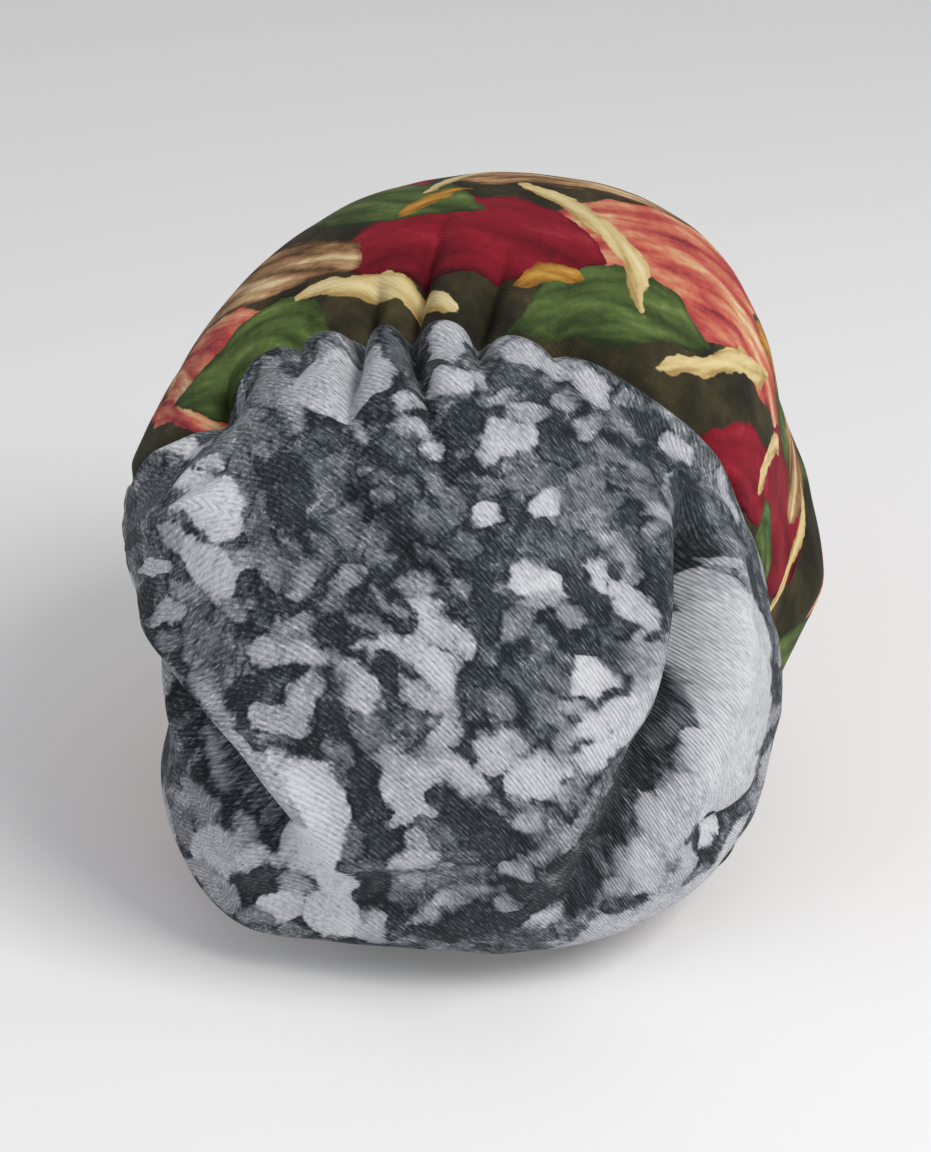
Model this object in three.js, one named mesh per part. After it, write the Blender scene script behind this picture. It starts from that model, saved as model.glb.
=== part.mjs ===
// A slouchy sewn hat of knit cloth: a printed front panel that goes up over the crown, a grey back
// panel that is gathered into the crown seam and sags over the nape as a soft bag, and a doubled
// printed band round the head opening.
// Units are millimetres. +X is the wearer's right, +Y the wearer's front and +Z up. The hat stands
// on the folded edge of its band, and the origin is the middle of its footprint at that level.
import * as THREE from "three";

// Driving dimensions
const OPENING_HALF_WIDTH = 88; // outside of the band's top at the ears
const FRONT_REACH = 136; // from the ear line to the front of the band's top
const NAPE_REACH = 52; // from the ear line back to the nape of the band's top
const BAND_HEIGHT = 28;
const BAND_LEAN = 3; // how much smaller the band's folded edge is than its top, all round
const BAND_THICKNESS = 3.2; // two layers of cloth
const BAND_EDGE = 0.9; // the soft corner of the band's section
const CROWN_HALF_WIDTH = 102;
const CROWN_HEIGHT = 184; // top of the crown above the folded edge
const BAG_REACH = 102; // from the ear line back to where the bag sags furthest
const CLOTH = 2; // wall of a single layer
const SEAM_GAP = 0.5; // between two panels that are sewn together
const FOOT_GAP = 0.3; // between a panel's lower edge and the band
const SEAM_GROOVE = 3.2; // how deep the crown seam pulls in
const SEAM_GROOVE_WIDTH = 7;
const TUCK_DEPTH = 9; // the deepest gather at the crown seam
const TUCK_WIDTH = 8;
const SHOULDER_HEIGHT = 3.5; // how far the bag stands up just below the crown seam
const FOLD_DEPTH = 9.5; // the deepest fold in the bag
const FOLD_WIDTH = 12;
const SWELL_HEIGHT = 9; // the fullest soft swelling
const SWELL_WIDTH = 34;

// Mesh fineness
const BAG_COLUMNS = 44;
const BAG_ROWS = 36;
const FRONT_COLUMNS = 34;
const FRONT_ROWS = 22;
const BAND_STEPS = 76;

// The two sides of the crown seam, from the top corner down to the band. Widths are shares of the
// way from the opening's half width to the crown's, depths are shares of the bag's reach, and
// heights are shares of the crown's height above the band.
const SEAM_SIDES = [
  { down: 0.0, left: 0.1, leftY: -0.16, right: -0.6, rightY: -0.24, z: 0.53 },
  { down: 0.2, left: 0.5, leftY: -0.14, right: -0.05, rightY: -0.21, z: 0.44 },
  { down: 0.4, left: 0.15, leftY: -0.11, right: 0.3, rightY: -0.17, z: 0.335 },
  { down: 0.6, left: -0.35, leftY: -0.07, right: 0.5, rightY: -0.12, z: 0.225 },
  { down: 0.8, left: -0.35, leftY: -0.04, right: 0.45, rightY: -0.06, z: 0.115 },
  { down: 1.0, left: 0.0, leftY: 0.0, right: 0.0, rightY: 0.0, z: 0.0 },
];

// Where the crown seam sags down over the back: place across, how far as a share of the back
// panel's length, and how wide.
const SEAM_SAGS = [
  { across: -0.64, amount: 0.14, width: 0.23 },
  { across: -0.9, amount: 0.05, width: 0.2 },
  { across: 0.58, amount: 0.075, width: 0.26 },
  { across: 0.9, amount: 0.04, width: 0.25 },
];

// The middle line of the back panel, from the crown seam down round the bag to the nape, and how
// square each half of its rows is. Sideways shares are of the crown's half width. A height below
// the band's top is a share of the band's.
const BAG_MIDDLE = [
  { down: 0.0, x: 0.0, y: -0.1, z: 0.893, leftSquare: 1.85, rightSquare: 2.0 },
  { down: 0.15, x: 0.0, y: -0.45, z: 0.868, leftSquare: 2.05, rightSquare: 2.15 },
  { down: 0.33, x: -0.01, y: -0.78, z: 0.68, leftSquare: 2.3, rightSquare: 2.35 },
  { down: 0.52, x: -0.03, y: -0.97, z: 0.41, leftSquare: 2.4, rightSquare: 2.5 },
  { down: 0.67, x: -0.06, y: -1.0, z: 0.14, leftSquare: 2.35, rightSquare: 2.6 },
  { down: 0.8, x: -0.09, y: -0.88, z: -0.46, leftSquare: 2.45, rightSquare: 2.7 },
  { down: 0.91, x: -0.05, y: -0.65, z: -0.68, leftSquare: 2.35, rightSquare: 2.5 },
];

// The middle line of the front panel, from the crown seam over the top to the forehead. Depths are
// shares of the front reach, apart from the seam's own, which the bag's line gives.
const FRONT_MIDDLE = [
  { down: 0.15, x: 0.04, y: 0.18, z: 0.987, leftSquare: 2.15, rightSquare: 2.3 },
  { down: 0.32, x: 0.07, y: 0.5, z: 1.0, leftSquare: 2.3, rightSquare: 2.5 },
  { down: 0.47, x: 0.06, y: 0.765, z: 0.872, leftSquare: 2.25, rightSquare: 2.4 },
  { down: 0.64, x: 0.03, y: 0.94, z: 0.605, leftSquare: 2.2, rightSquare: 2.3 },
  { down: 0.83, x: 0.0, y: 1.01, z: 0.283, leftSquare: 2.15, rightSquare: 2.15 },
];
const FOOT_SQUARE = 2.1; // how square the band's outline is, where 2 is an ellipse

// The gathers of the crown seam. Each runs down from the seam on both panels: where it is across
// (-1 left, 1 right), how it drifts on the bag, its depth and width as shares, and how far it runs.
const TUCKS = [
  { across: -0.47, drift: 0.5, depth: 1.0, width: 1.3, back: 0.22, front: 0.11 },
  { across: -0.3, drift: 0.35, depth: 0.4, width: 1.0, back: 0.2, front: 0.07 },
  { across: -0.16, drift: 0.1, depth: 0.9, width: 0.85, back: 0.34, front: 0.1 },
  { across: -0.06, drift: 0.4, depth: 0.9, width: 0.8, back: 0.36, front: 0.22 },
  { across: 0.09, drift: 0.15, depth: 1.0, width: 0.9, back: 0.15, front: 0.15 },
  { across: 0.235, drift: 0.3, depth: 0.35, width: 1.2, back: 0.2, front: 0.1 },
];

// The folds of the bag: a bent line by three points (across, down), then depth and width as
// shares, and how far one bank leans over it, as a share of the width. The sign of the lean picks
// the bank.
const FOLDS = [
  { from: [0.52, 0.15], via: [0.59, 0.42], to: [0.36, 0.62], depth: 1.1, width: 0.85, lean: 0.25 },
  { from: [0.46, 0.5], via: [0.39, 0.62], to: [0.24, 0.78], depth: 0.8, width: 1.0, lean: 0.2 },
  { from: [-0.76, 0.46], via: [-0.46, 0.54], to: [-0.16, 0.74], depth: 1.0, width: 0.75, lean: -0.6 },
  { from: [-0.36, 0.2], via: [-0.31, 0.28], to: [-0.33, 0.42], depth: 0.4, width: 0.9, lean: 0 },
  { from: [-0.2, 0.24], via: [-0.07, 0.33], to: [0.1, 0.4], depth: 0.45, width: 0.9, lean: 0 },
  { from: [-0.5, 0.77], via: [-0.2, 0.74], to: [0.26, 0.68], depth: 0.3, width: 1.0, lean: 0 },
  { from: [0.48, 0.64], via: [0.56, 0.69], to: [0.7, 0.73], depth: 0.45, width: 0.7, lean: 0.2 },
];

// Soft swellings and hollows between the folds: centre (across, down), height and width as shares.
const BAG_SWELLS = [
  { at: [-0.5, 0.25], height: 0.8, width: 0.6 },
  { at: [0.08, 0.5], height: 0.6, width: 1.4 },
  { at: [-0.36, 0.78], height: 0.4, width: 0.6 },
  { at: [0.56, 0.5], height: 0.4, width: 0.8 },
  { at: [-0.86, 0.6], height: -1.2, width: 0.8 },
  { at: [0.05, 0.14], height: 0.35, width: 0.7 },
];
const FRONT_SWELLS = [
  { at: [-0.87, 0.7], height: 2.0, width: 0.95 },
  { at: [-0.72, 0.14], height: 0.3, width: 0.8 },
  { at: [0.84, 0.56], height: 1.2, width: 1.1 },
  { at: [0.5, 0.22], height: 0.55, width: 1.2 },
];

const CLOTH_COLOURS = { print: 0x9b2a33, marble: 0x6f7378 };

// Cubic curve through the rows of a table, read at a share down. Its slopes are those of the chords
// between neighbouring rows.
function curveAt(table, column, down) {
  const last = table.length - 1;
  let i = 0;
  while (i < last - 1 && down > table[i + 1].down) i++;
  const slope = (k) => {
    const a = table[Math.max(k - 1, 0)];
    const b = table[Math.min(k + 1, last)];
    return (b[column] - a[column]) / (b.down - a.down);
  };
  const step = table[i + 1].down - table[i].down;
  const s = (down - table[i].down) / step;
  const [p, q] = [table[i][column], table[i + 1][column]];
  const [m, n] = [slope(i) * step, slope(i + 1) * step];
  return (2 * p - 2 * q + m + n) * s ** 3 + (3 * q - 3 * p - 2 * m - n) * s ** 2 + m * s + p;
}

// The tables above in millimetres. Depths run from the ear line, and heights from the folded edge.
const PANEL_FOOT = BAND_HEIGHT + FOOT_GAP;
const heightAt = (share) =>
  PANEL_FOOT + share * (share < 0 ? BAND_HEIGHT : CROWN_HEIGHT - PANEL_FOOT);
const halfWidthAt = (share) =>
  OPENING_HALF_WIDTH + share * (CROWN_HALF_WIDTH - OPENING_HALF_WIDTH);

const sides = SEAM_SIDES.map((row) => ({
  down: row.down,
  leftX: -halfWidthAt(row.left),
  leftY: row.leftY * BAG_REACH,
  rightX: halfWidthAt(row.right),
  rightY: row.rightY * BAG_REACH,
  z: heightAt(row.z),
}));
const middleRow = (row, reach) => ({
  down: row.down,
  x: row.x * CROWN_HALF_WIDTH,
  y: row.y * reach,
  z: heightAt(row.z),
  leftSquare: row.leftSquare,
  rightSquare: row.rightSquare,
});
const footRow = (y) => ({
  down: 1,
  x: 0,
  y,
  z: PANEL_FOOT,
  leftSquare: FOOT_SQUARE,
  rightSquare: FOOT_SQUARE,
});
const bagMiddle = [...BAG_MIDDLE.map((row) => middleRow(row, BAG_REACH)), footRow(-NAPE_REACH)];
const frontMiddle = [
  bagMiddle[0],
  ...FRONT_MIDDLE.map((row) => middleRow(row, FRONT_REACH)),
  footRow(FRONT_REACH),
];

// A panel without folds: each row is half of a squared ellipse from one side of the seam over the
// middle line to the other side. Across runs from -1 at the left to 1, and down from 0 to 1.
function plainPoint(middle, across, down) {
  const side = (column) => curveAt(sides, column, down);
  const left = new THREE.Vector3(side("leftX"), side("leftY"), side("z"));
  const right = new THREE.Vector3(side("rightX"), side("rightY"), side("z"));
  const centre = left.clone().add(right).multiplyScalar(0.5);
  const towards = new THREE.Vector3(
    centre.x + curveAt(middle, "x", down),
    curveAt(middle, "y", down),
    curveAt(middle, "z", down),
  ).sub(centre);
  const square = curveAt(middle, across < 0 ? "leftSquare" : "rightSquare", down);
  const angle = ((1 - across) * Math.PI) / 2;
  const [c, s] = [Math.cos(angle), Math.sin(angle)];
  const radius = (Math.abs(c) ** square + Math.abs(s) ** square) ** (-1 / square);
  return centre.addScaledVector(right.sub(left), (c * radius) / 2).addScaledVector(towards, s * radius);
}

const bump = (distance, width) => Math.exp(-((distance / width) ** 2));
const fade = (share) => THREE.MathUtils.smoothstep(share, 0, 1);

// A panel without folds whose crown seam sags: the back panel starts further down its own surface,
// and the front panel is drawn over to meet it.
function drapedPoint(middle, across, down) {
  const sag = SEAM_SAGS.reduce((sum, row) => sum + row.amount * bump(across - row.across, row.width), 0);
  if (middle === bagMiddle) return plainPoint(middle, across, down + sag * (1 - fade(down / 0.4)));
  const drawn = plainPoint(bagMiddle, across, sag).sub(plainPoint(bagMiddle, across, 0));
  return plainPoint(middle, across, down).addScaledVector(drawn, 1 - fade(down / 0.28));
}

// Typical lengths of the cloth for one unit across and down, which give folds their real widths.
const ACROSS_LENGTH = (OPENING_HALF_WIDTH + BAG_REACH) * 0.82;
const DOWN_LENGTH = CROWN_HEIGHT + 0.9 * BAG_REACH;

const EDGE_STAY = 0.07; // how far from a corner, as a share, a seam's own direction is read
const DERIVATIVE_STEP = 0.004;

// Outward direction of a panel without folds.
function plainNormal(middle, across, down) {
  const a = THREE.MathUtils.clamp(across, -1 + DERIVATIVE_STEP, 1 - DERIVATIVE_STEP);
  const d = THREE.MathUtils.clamp(down, DERIVATIVE_STEP, 1 - DERIVATIVE_STEP);
  const along = drapedPoint(middle, a + DERIVATIVE_STEP, d);
  along.sub(drapedPoint(middle, a - DERIVATIVE_STEP, d));
  const below = drapedPoint(middle, a, d + DERIVATIVE_STEP);
  below.sub(drapedPoint(middle, a, d - DERIVATIVE_STEP));
  const normal = middle === bagMiddle ? below.cross(along) : along.cross(below);
  return normal.normalize();
}

// How near the crown seam a place is, from 0 to 1: along its top, and along its two sides.
const nearTop = (down) => bump(down * DOWN_LENGTH, SEAM_GROOVE_WIDTH);
const nearSide = (across) => bump((1 - Math.abs(across)) * ACROSS_LENGTH, SEAM_GROOVE_WIDTH);

// The direction in which both panels are pulled at the seam, which is the mean of theirs.
function seamNormal(across, down) {
  return plainNormal(bagMiddle, across, down).add(plainNormal(frontMiddle, across, down)).normalize();
}

// A panel's outward direction, which turns into the seam's own direction at the seam.
function panelNormal(middle, across, down) {
  const [top, side] = [nearTop(down), nearSide(across)];
  const normal = plainNormal(middle, across, down).multiplyScalar((1 - top) * (1 - side));
  const inner = THREE.MathUtils.clamp(across, -1 + EDGE_STAY, 1 - EDGE_STAY);
  normal.addScaledVector(seamNormal(inner, 0), top);
  normal.addScaledVector(seamNormal(Math.sign(across) || 1, Math.max(down, EDGE_STAY)), side);
  return normal.normalize();
}

// Depth of the gathers: full on the seam and just below it, and fading along their run.
function tuckDepth(across, down, run) {
  let depth = 0;
  for (const tuck of TUCKS) {
    const line = tuck.across + (run === "back" ? tuck.drift * down : 0);
    const shape = bump((across - line) * ACROSS_LENGTH, TUCK_WIDTH * tuck.width);
    const pulled = 0.55 + 0.45 * fade(down / 0.04);
    depth += tuck.depth * shape * pulled * (1 - fade(down / tuck[run]));
  }
  return depth * TUCK_DEPTH;
}

// Nearest place on a fold's bent line: the share along it, the way off it in millimetres, with a sign
// for its side, and the direction of that way.
function nearestOnFold(fold, across, down) {
  const pieces = 12;
  const at = (s, k) =>
    (1 - s) ** 2 * fold.from[k] + 2 * s * (1 - s) * fold.via[k] + s ** 2 * fold.to[k];
  const place = (s) => new THREE.Vector2(at(s, 0) * ACROSS_LENGTH, at(s, 1) * DOWN_LENGTH);
  const here = new THREE.Vector2(across * ACROSS_LENGTH, down * DOWN_LENGTH);
  let best = { distance: Infinity };
  for (let i = 0; i < pieces; i++) {
    const start = place(i / pieces);
    const along = place((i + 1) / pieces).sub(start);
    const off = here.clone().sub(start);
    const share = THREE.MathUtils.clamp(off.dot(along) / along.lengthSq(), 0, 1);
    off.addScaledVector(along, -share);
    const distance = off.length();
    if (distance >= best.distance) continue;
    const way = new THREE.Vector2(-along.y, along.x).normalize();
    best = { distance, way, share: (i + share) / pieces, side: Math.sign(off.dot(way)) };
  }
  return best;
}

// Height of folds and swellings above the plain panel, and how far the cloth leans.
function relief(folds, swells, across, down) {
  let [height, leanAcross, leanDown] = [0, 0, 0];
  for (const fold of folds) {
    const near = nearestOnFold(fold, across, down);
    const width = FOLD_WIDTH * fold.width;
    const taper = fade(near.share / 0.25) * fade((1 - near.share) / 0.3);
    height -= taper * fold.depth * FOLD_DEPTH * bump(near.distance, width);
    height += taper * fold.depth * FOLD_DEPTH * 0.3 * bump(near.distance - 1.9 * width, width);
    const bank = near.distance * near.side * Math.sign(fold.lean);
    const lean = taper * fold.lean * width * bump(bank - width, width * 0.8);
    leanAcross += lean * near.way.x;
    leanDown += lean * near.way.y;
  }
  for (const swell of swells) {
    const x = (across - swell.at[0]) * ACROSS_LENGTH;
    const y = (down - swell.at[1]) * DOWN_LENGTH;
    height += swell.height * SWELL_HEIGHT * bump(Math.hypot(x, y), SWELL_WIDTH * swell.width);
  }
  return { height, across: leanAcross / ACROSS_LENGTH, down: leanDown / DOWN_LENGTH };
}

// 0 on the panel's edges and 1 inside, so that folds leave the seams where they are.
const insideEdges = (across, down) =>
  fade((down * DOWN_LENGTH) / 16) *
  fade(((1 - down) * DOWN_LENGTH) / 22) *
  fade(((1 - Math.abs(across)) * ACROSS_LENGTH) / 22);

// Outside of a panel with its gathers, folds and seam groove.
function panelPoint(middle, across, down) {
  const isBag = middle === bagMiddle;
  const inside = insideEdges(across, down);
  const folded = isBag ? relief(FOLDS, BAG_SWELLS, across, down) : relief([], FRONT_SWELLS, across, down);
  const groove = SEAM_GROOVE * Math.max(nearTop(down), nearSide(across) * fade((1 - down) / 0.12));
  let height = folded.height * inside - groove - tuckDepth(across, down, isBag ? "back" : "front");
  if (isBag) {
    height += SHOULDER_HEIGHT * bump(down * DOWN_LENGTH - 11, 8) * fade((0.8 - Math.abs(across)) / 0.3);
  }
  const leaned = [across + folded.across * inside, down + folded.down * inside];
  const point = drapedPoint(middle, ...leaned);
  point.addScaledVector(panelNormal(middle, ...leaned), height * fade((1 - down) / 0.06));
  point.y += ((isBag ? -1 : 1) * SEAM_GAP) / 2;
  return point;
}

// Outward directions at the vertices of a grid of points, from the cells round each vertex.
function gridNormals(points, outward) {
  const rows = points.length;
  const columns = points[0].length;
  return points.map((line, i) =>
    line.map((_, j) => {
      const up = points[Math.max(i - 1, 0)][j];
      const below = points[Math.min(i + 1, rows - 1)][j];
      const before = line[Math.max(j - 1, 0)];
      const after = line[Math.min(j + 1, columns - 1)];
      const normal = after.clone().sub(before).cross(below.clone().sub(up));
      return normal.multiplyScalar(outward).normalize();
    }),
  );
}

// A closed shell from a grid of outside points and the matching inside points.
function shellGeometry(outside, inside, outward) {
  const rows = outside.length;
  const columns = outside[0].length;
  const vertices = [...outside.flat(), ...inside.flat()];
  const at = (layer, i, j) => layer * rows * columns + i * columns + j;
  const faces = [];
  const quad = (a, b, c, d) => faces.push(...(outward > 0 ? [a, b, c, a, c, d] : [a, c, b, a, d, c]));
  for (let i = 0; i < rows - 1; i++) {
    for (let j = 0; j < columns - 1; j++) {
      quad(at(0, i, j), at(0, i, j + 1), at(0, i + 1, j + 1), at(0, i + 1, j));
      quad(at(1, i, j), at(1, i + 1, j), at(1, i + 1, j + 1), at(1, i, j + 1));
    }
  }
  for (let i = 0; i < rows - 1; i++) {
    const last = columns - 1;
    quad(at(0, i, 0), at(0, i + 1, 0), at(1, i + 1, 0), at(1, i, 0));
    quad(at(0, i, last), at(1, i, last), at(1, i + 1, last), at(0, i + 1, last));
  }
  for (let j = 0; j < columns - 1; j++) {
    const last = rows - 1;
    quad(at(0, 0, j), at(1, 0, j), at(1, 0, j + 1), at(0, 0, j + 1));
    quad(at(0, last, j), at(0, last, j + 1), at(1, last, j + 1), at(1, last, j));
  }
  const geometry = new THREE.BufferGeometry().setFromPoints(vertices);
  geometry.setIndex(faces);
  geometry.computeVertexNormals();
  return geometry;
}

// Columns are closer together at the middle, where the folds are.
const MIDDLE_CROWDING = 0.42;
const columnAt = (share) => {
  const t = 2 * share - 1;
  return (1 - MIDDLE_CROWDING) * t + MIDDLE_CROWDING * t ** 3;
};

const LEVEL_EDGE = 0.05; // how much of a panel, as a share down, has a wall that is square to its foot

// A cloth panel as a wall of one layer.
function panelGeometry(middle, columns, rows) {
  const outward = middle === bagMiddle ? -1 : 1;
  const places = Array.from({ length: rows + 1 }, (_, i) =>
    Array.from({ length: columns + 1 }, (_, j) => [columnAt(j / columns), i / rows]),
  );
  const outside = places.map((line) => line.map(([across, down]) => panelPoint(middle, across, down)));
  const normals = gridNormals(outside, outward);
  const inside = outside.map((line, i) =>
    line.map((point, j) => {
      const [across, down] = places[i][j];
      const seam = Math.max(nearTop(down), nearSide(across));
      const normal = normals[i][j].multiplyScalar(1 - seam);
      normal.addScaledVector(panelNormal(middle, across, down), seam);
      normal.z *= fade((1 - down) / LEVEL_EDGE);
      return point.clone().addScaledVector(normal.normalize(), -CLOTH);
    }),
  );
  return shellGeometry(outside, inside, outward);
}

// Outline of the band, widest at the ear line. Inset is how far inside the band's top edge.
function bandPoint(turn, inset) {
  const angle = turn * 2 * Math.PI;
  const [c, s] = [Math.cos(angle), Math.sin(angle)];
  const radius = (Math.abs(c) ** FOOT_SQUARE + Math.abs(s) ** FOOT_SQUARE) ** (-1 / FOOT_SQUARE);
  const reach = s > 0 ? FRONT_REACH : NAPE_REACH;
  return [c * radius * (OPENING_HALF_WIDTH - inset), s * radius * (reach - inset)];
}

// The doubled band: its section, with soft corners, carried round the outline.
function bandGeometry() {
  const [t, h, e] = [BAND_THICKNESS, BAND_HEIGHT, BAND_EDGE];
  const section = [
    [0, e],
    [0, h - e],
    [e, h],
    [t - e, h],
    [t, h - e],
    [t, e],
    [t - e, 0],
    [e, 0],
  ];
  const points = [];
  const faces = [];
  for (let i = 0; i < BAND_STEPS; i++) {
    for (const [inset, z] of section) {
      const lean = BAND_LEAN * (1 - z / BAND_HEIGHT);
      points.push(new THREE.Vector3(...bandPoint(i / BAND_STEPS, inset + lean), z));
    }
    for (let k = 0; k < section.length; k++) {
      const next = (i + 1) % BAND_STEPS;
      const after = (k + 1) % section.length;
      const [a, b] = [i * section.length + k, next * section.length + k];
      const [c, d] = [next * section.length + after, i * section.length + after];
      faces.push(a, b, c, a, c, d);
    }
  }
  const geometry = new THREE.BufferGeometry().setFromPoints(points);
  geometry.setIndex(faces);
  geometry.computeVertexNormals();
  return geometry;
}

function namedMesh(name, geometry, color) {
  const mesh = new THREE.Mesh(
    geometry,
    new THREE.MeshStandardMaterial({ color, roughness: 0.9, metalness: 0 }),
  );
  mesh.name = name;
  return mesh;
}

const hat = new THREE.Group();
hat.add(
  namedMesh("front_panel", panelGeometry(frontMiddle, FRONT_COLUMNS, FRONT_ROWS), CLOTH_COLOURS.print),
  namedMesh("back_bag", panelGeometry(bagMiddle, BAG_COLUMNS, BAG_ROWS), CLOTH_COLOURS.marble),
  namedMesh("rim_band", bandGeometry(), CLOTH_COLOURS.print),
);

// The origin goes to the middle of the footprint.
const footprint = new THREE.Box3().setFromObject(hat).getCenter(new THREE.Vector3());
hat.children.forEach((mesh) => mesh.position.set(-footprint.x, -footprint.y, 0));

export default hat;
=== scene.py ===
"""Looks of a slouchy hat sewn from two knit cloths: a printed front panel over the crown, a grey
marbled back panel gathered into the crown seam that sags as a soft bag, and a printed band.

Shapes are worked out in millimetres with the ear line at y = 0 and the band's folded edge at
z = 0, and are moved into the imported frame, in metres, when their meshes are made.
"""
import math
from functools import partial
import bpy
import numpy as np
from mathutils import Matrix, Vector


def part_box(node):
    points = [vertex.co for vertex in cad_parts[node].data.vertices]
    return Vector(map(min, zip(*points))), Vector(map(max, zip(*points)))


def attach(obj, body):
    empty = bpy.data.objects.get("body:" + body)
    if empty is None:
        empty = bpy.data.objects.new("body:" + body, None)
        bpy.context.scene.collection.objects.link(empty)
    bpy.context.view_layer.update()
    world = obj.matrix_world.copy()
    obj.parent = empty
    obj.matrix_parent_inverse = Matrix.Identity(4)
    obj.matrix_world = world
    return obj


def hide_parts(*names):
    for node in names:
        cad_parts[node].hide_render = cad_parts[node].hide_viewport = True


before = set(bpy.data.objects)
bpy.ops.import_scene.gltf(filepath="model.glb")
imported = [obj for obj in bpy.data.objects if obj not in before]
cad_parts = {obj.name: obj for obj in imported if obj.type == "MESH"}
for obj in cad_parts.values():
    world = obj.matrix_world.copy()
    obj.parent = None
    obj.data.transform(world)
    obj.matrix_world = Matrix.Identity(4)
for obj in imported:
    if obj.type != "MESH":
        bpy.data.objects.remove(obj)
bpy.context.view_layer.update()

MM = 0.001

# Sizes of the hat in millimetres, as its solids have them
OPENING_HALF_WIDTH = 88
FRONT_REACH = 136
NAPE_REACH = 52
BAND_HEIGHT = 28
BAND_LEAN = 3
BAND_THICKNESS = 3.2
CROWN_HALF_WIDTH = 102
CROWN_HEIGHT = 184
BAG_REACH = 102
FOOT_GAP = 0.3
FOOT_SQUARE = 2.1
CLOTH = 1.5  # jersey is thin, and the solids' walls are a little thicker

# The crown seam pulls both panels in along a groove, and the gathers are deepest on it.
SEAM_GROOVE = 3.4
SEAM_GROOVE_WIDTH = 5.0
TUCK_DEPTH = 12.0
TUCK_WIDTH = 5.6
SHOULDER_HEIGHT = 4.5  # how far the bag stands up just below the crown seam
FOLD_DEPTH = 12.0
FOLD_WIDTH = 8.5
SWELL_HEIGHT = 9.0
SWELL_WIDTH = 34.0
WRINKLE_HEIGHT = 0.9
SHOULDER_DROP = 11  # how far below the crown seam the bag's shoulder is highest
SHOULDER_WIDTH = 8
# Over these lengths the folds die out at the crown seam, at the foot and at the sides.
SEAM_MARGIN = 14
FOOT_MARGIN = 22
SIDE_MARGIN = 20
# The share of each panel's length over which it takes up the crown seam's sag
BACK_SAG_REACH = 0.4
FRONT_SAG_REACH = 0.28

# The camera looks from behind, a little from the wearer's right, and down.
CAMERA_AZIMUTH = math.radians(6)
CAMERA_ELEVATION = math.radians(27)
CAMERA_DISTANCE = 750
CAMERA_TARGET = np.array([0, 18, 75])
CAMERA_RIGHT = np.array([math.cos(CAMERA_AZIMUTH), math.sin(CAMERA_AZIMUTH), 0])
CAMERA_BACK = np.array([
    math.sin(CAMERA_AZIMUTH) * math.cos(CAMERA_ELEVATION),
    -math.cos(CAMERA_AZIMUTH) * math.cos(CAMERA_ELEVATION),
    math.sin(CAMERA_ELEVATION),
])
FOCAL_PIXELS = 2500
PICTURE_SIZE = (931, 1152)

# How a mark that is charted on the picture is sought on the cloth: in pixels, how near a sight line
# must pass, by how much more when none is that near, how far to each side of a mark the cloth is
# measured, and how large a miss is let pass there. Then the millimetres of cloth that one pixel
# shows where the measure can be trusted, and the most that it may show.
SIGHT_GRID = 421
SIGHT_RADIUS = 5
SIGHT_SLACK = 3
SIGHT_REACHES = (12, 7, 4)
SIGHT_MISS = 4
TRUSTED_STEPS = (0.15, 1.3)
LONGEST_STEP = 0.7

# The crown seam's two sides, from the top corner down to the band, as shares of the hat's sizes
SEAM_SIDES = ("down left left_y right right_y z", [
    (0.0, 0.1, -0.16, -0.6, -0.24, 0.53),
    (0.2, 0.5, -0.14, -0.05, -0.21, 0.44),
    (0.4, 0.15, -0.11, 0.3, -0.17, 0.335),
    (0.6, -0.35, -0.07, 0.5, -0.12, 0.225),
    (0.8, -0.35, -0.04, 0.45, -0.06, 0.115),
    (1.0, 0.0, 0.0, 0.0, 0.0, 0.0),
])
# Where the crown seam sags down over the back, as shares of the back panel's length
SEAM_SAGS = ("across amount width", [
    (-0.69, 0.175, 0.19),
    (-0.5, 0.085, 0.09),
    (0.58, 0.075, 0.26),
    (0.9, 0.04, 0.25),
])
# Middle line of the back panel, from the crown seam down round the bag, and how square each half
# of its rows is
BAG_MIDDLE = ("down x y z left_square right_square", [
    (0.0, 0.0, -0.1, 0.893, 1.85, 2.0),
    (0.15, 0.0, -0.45, 0.868, 2.05, 2.15),
    (0.33, -0.01, -0.78, 0.68, 2.3, 2.35),
    (0.52, -0.03, -0.97, 0.41, 2.4, 2.5),
    (0.67, -0.06, -1.0, 0.14, 2.35, 2.6),
    (0.8, -0.09, -0.88, -0.46, 2.45, 2.7),
    (0.91, -0.05, -0.65, -0.68, 2.35, 2.5),
])
# Middle line of the front panel, from the crown seam over the top to the forehead
FRONT_MIDDLE = ("down x y z left_square right_square", [
    (0.15, 0.04, 0.18, 0.987, 2.15, 2.3),
    (0.32, 0.07, 0.5, 1.0, 2.3, 2.5),
    (0.47, 0.06, 0.765, 0.872, 2.25, 2.4),
    (0.64, 0.03, 0.94, 0.605, 2.2, 2.3),
    (0.83, 0.0, 1.01, 0.283, 2.15, 2.15),
])

# Gathers of the crown seam: place across, drift on the way down, depth and width as shares, and
# how far each runs down the back and the front panel
TUCKS = ("across drift depth width back front", [
    (-0.47, 0.5, 1.2, 1.3, 0.22, 0.11),
    (-0.3, 0.35, 0.4, 1.0, 0.2, 0.07),
    (-0.16, 0.1, 1.0, 0.95, 0.34, 0.1),
    (-0.06, 0.4, 1.0, 0.85, 0.36, 0.22),
    (0.09, 0.15, 1.1, 0.95, 0.15, 0.15),
    (0.235, 0.3, 0.35, 1.3, 0.2, 0.1),
])
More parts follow.
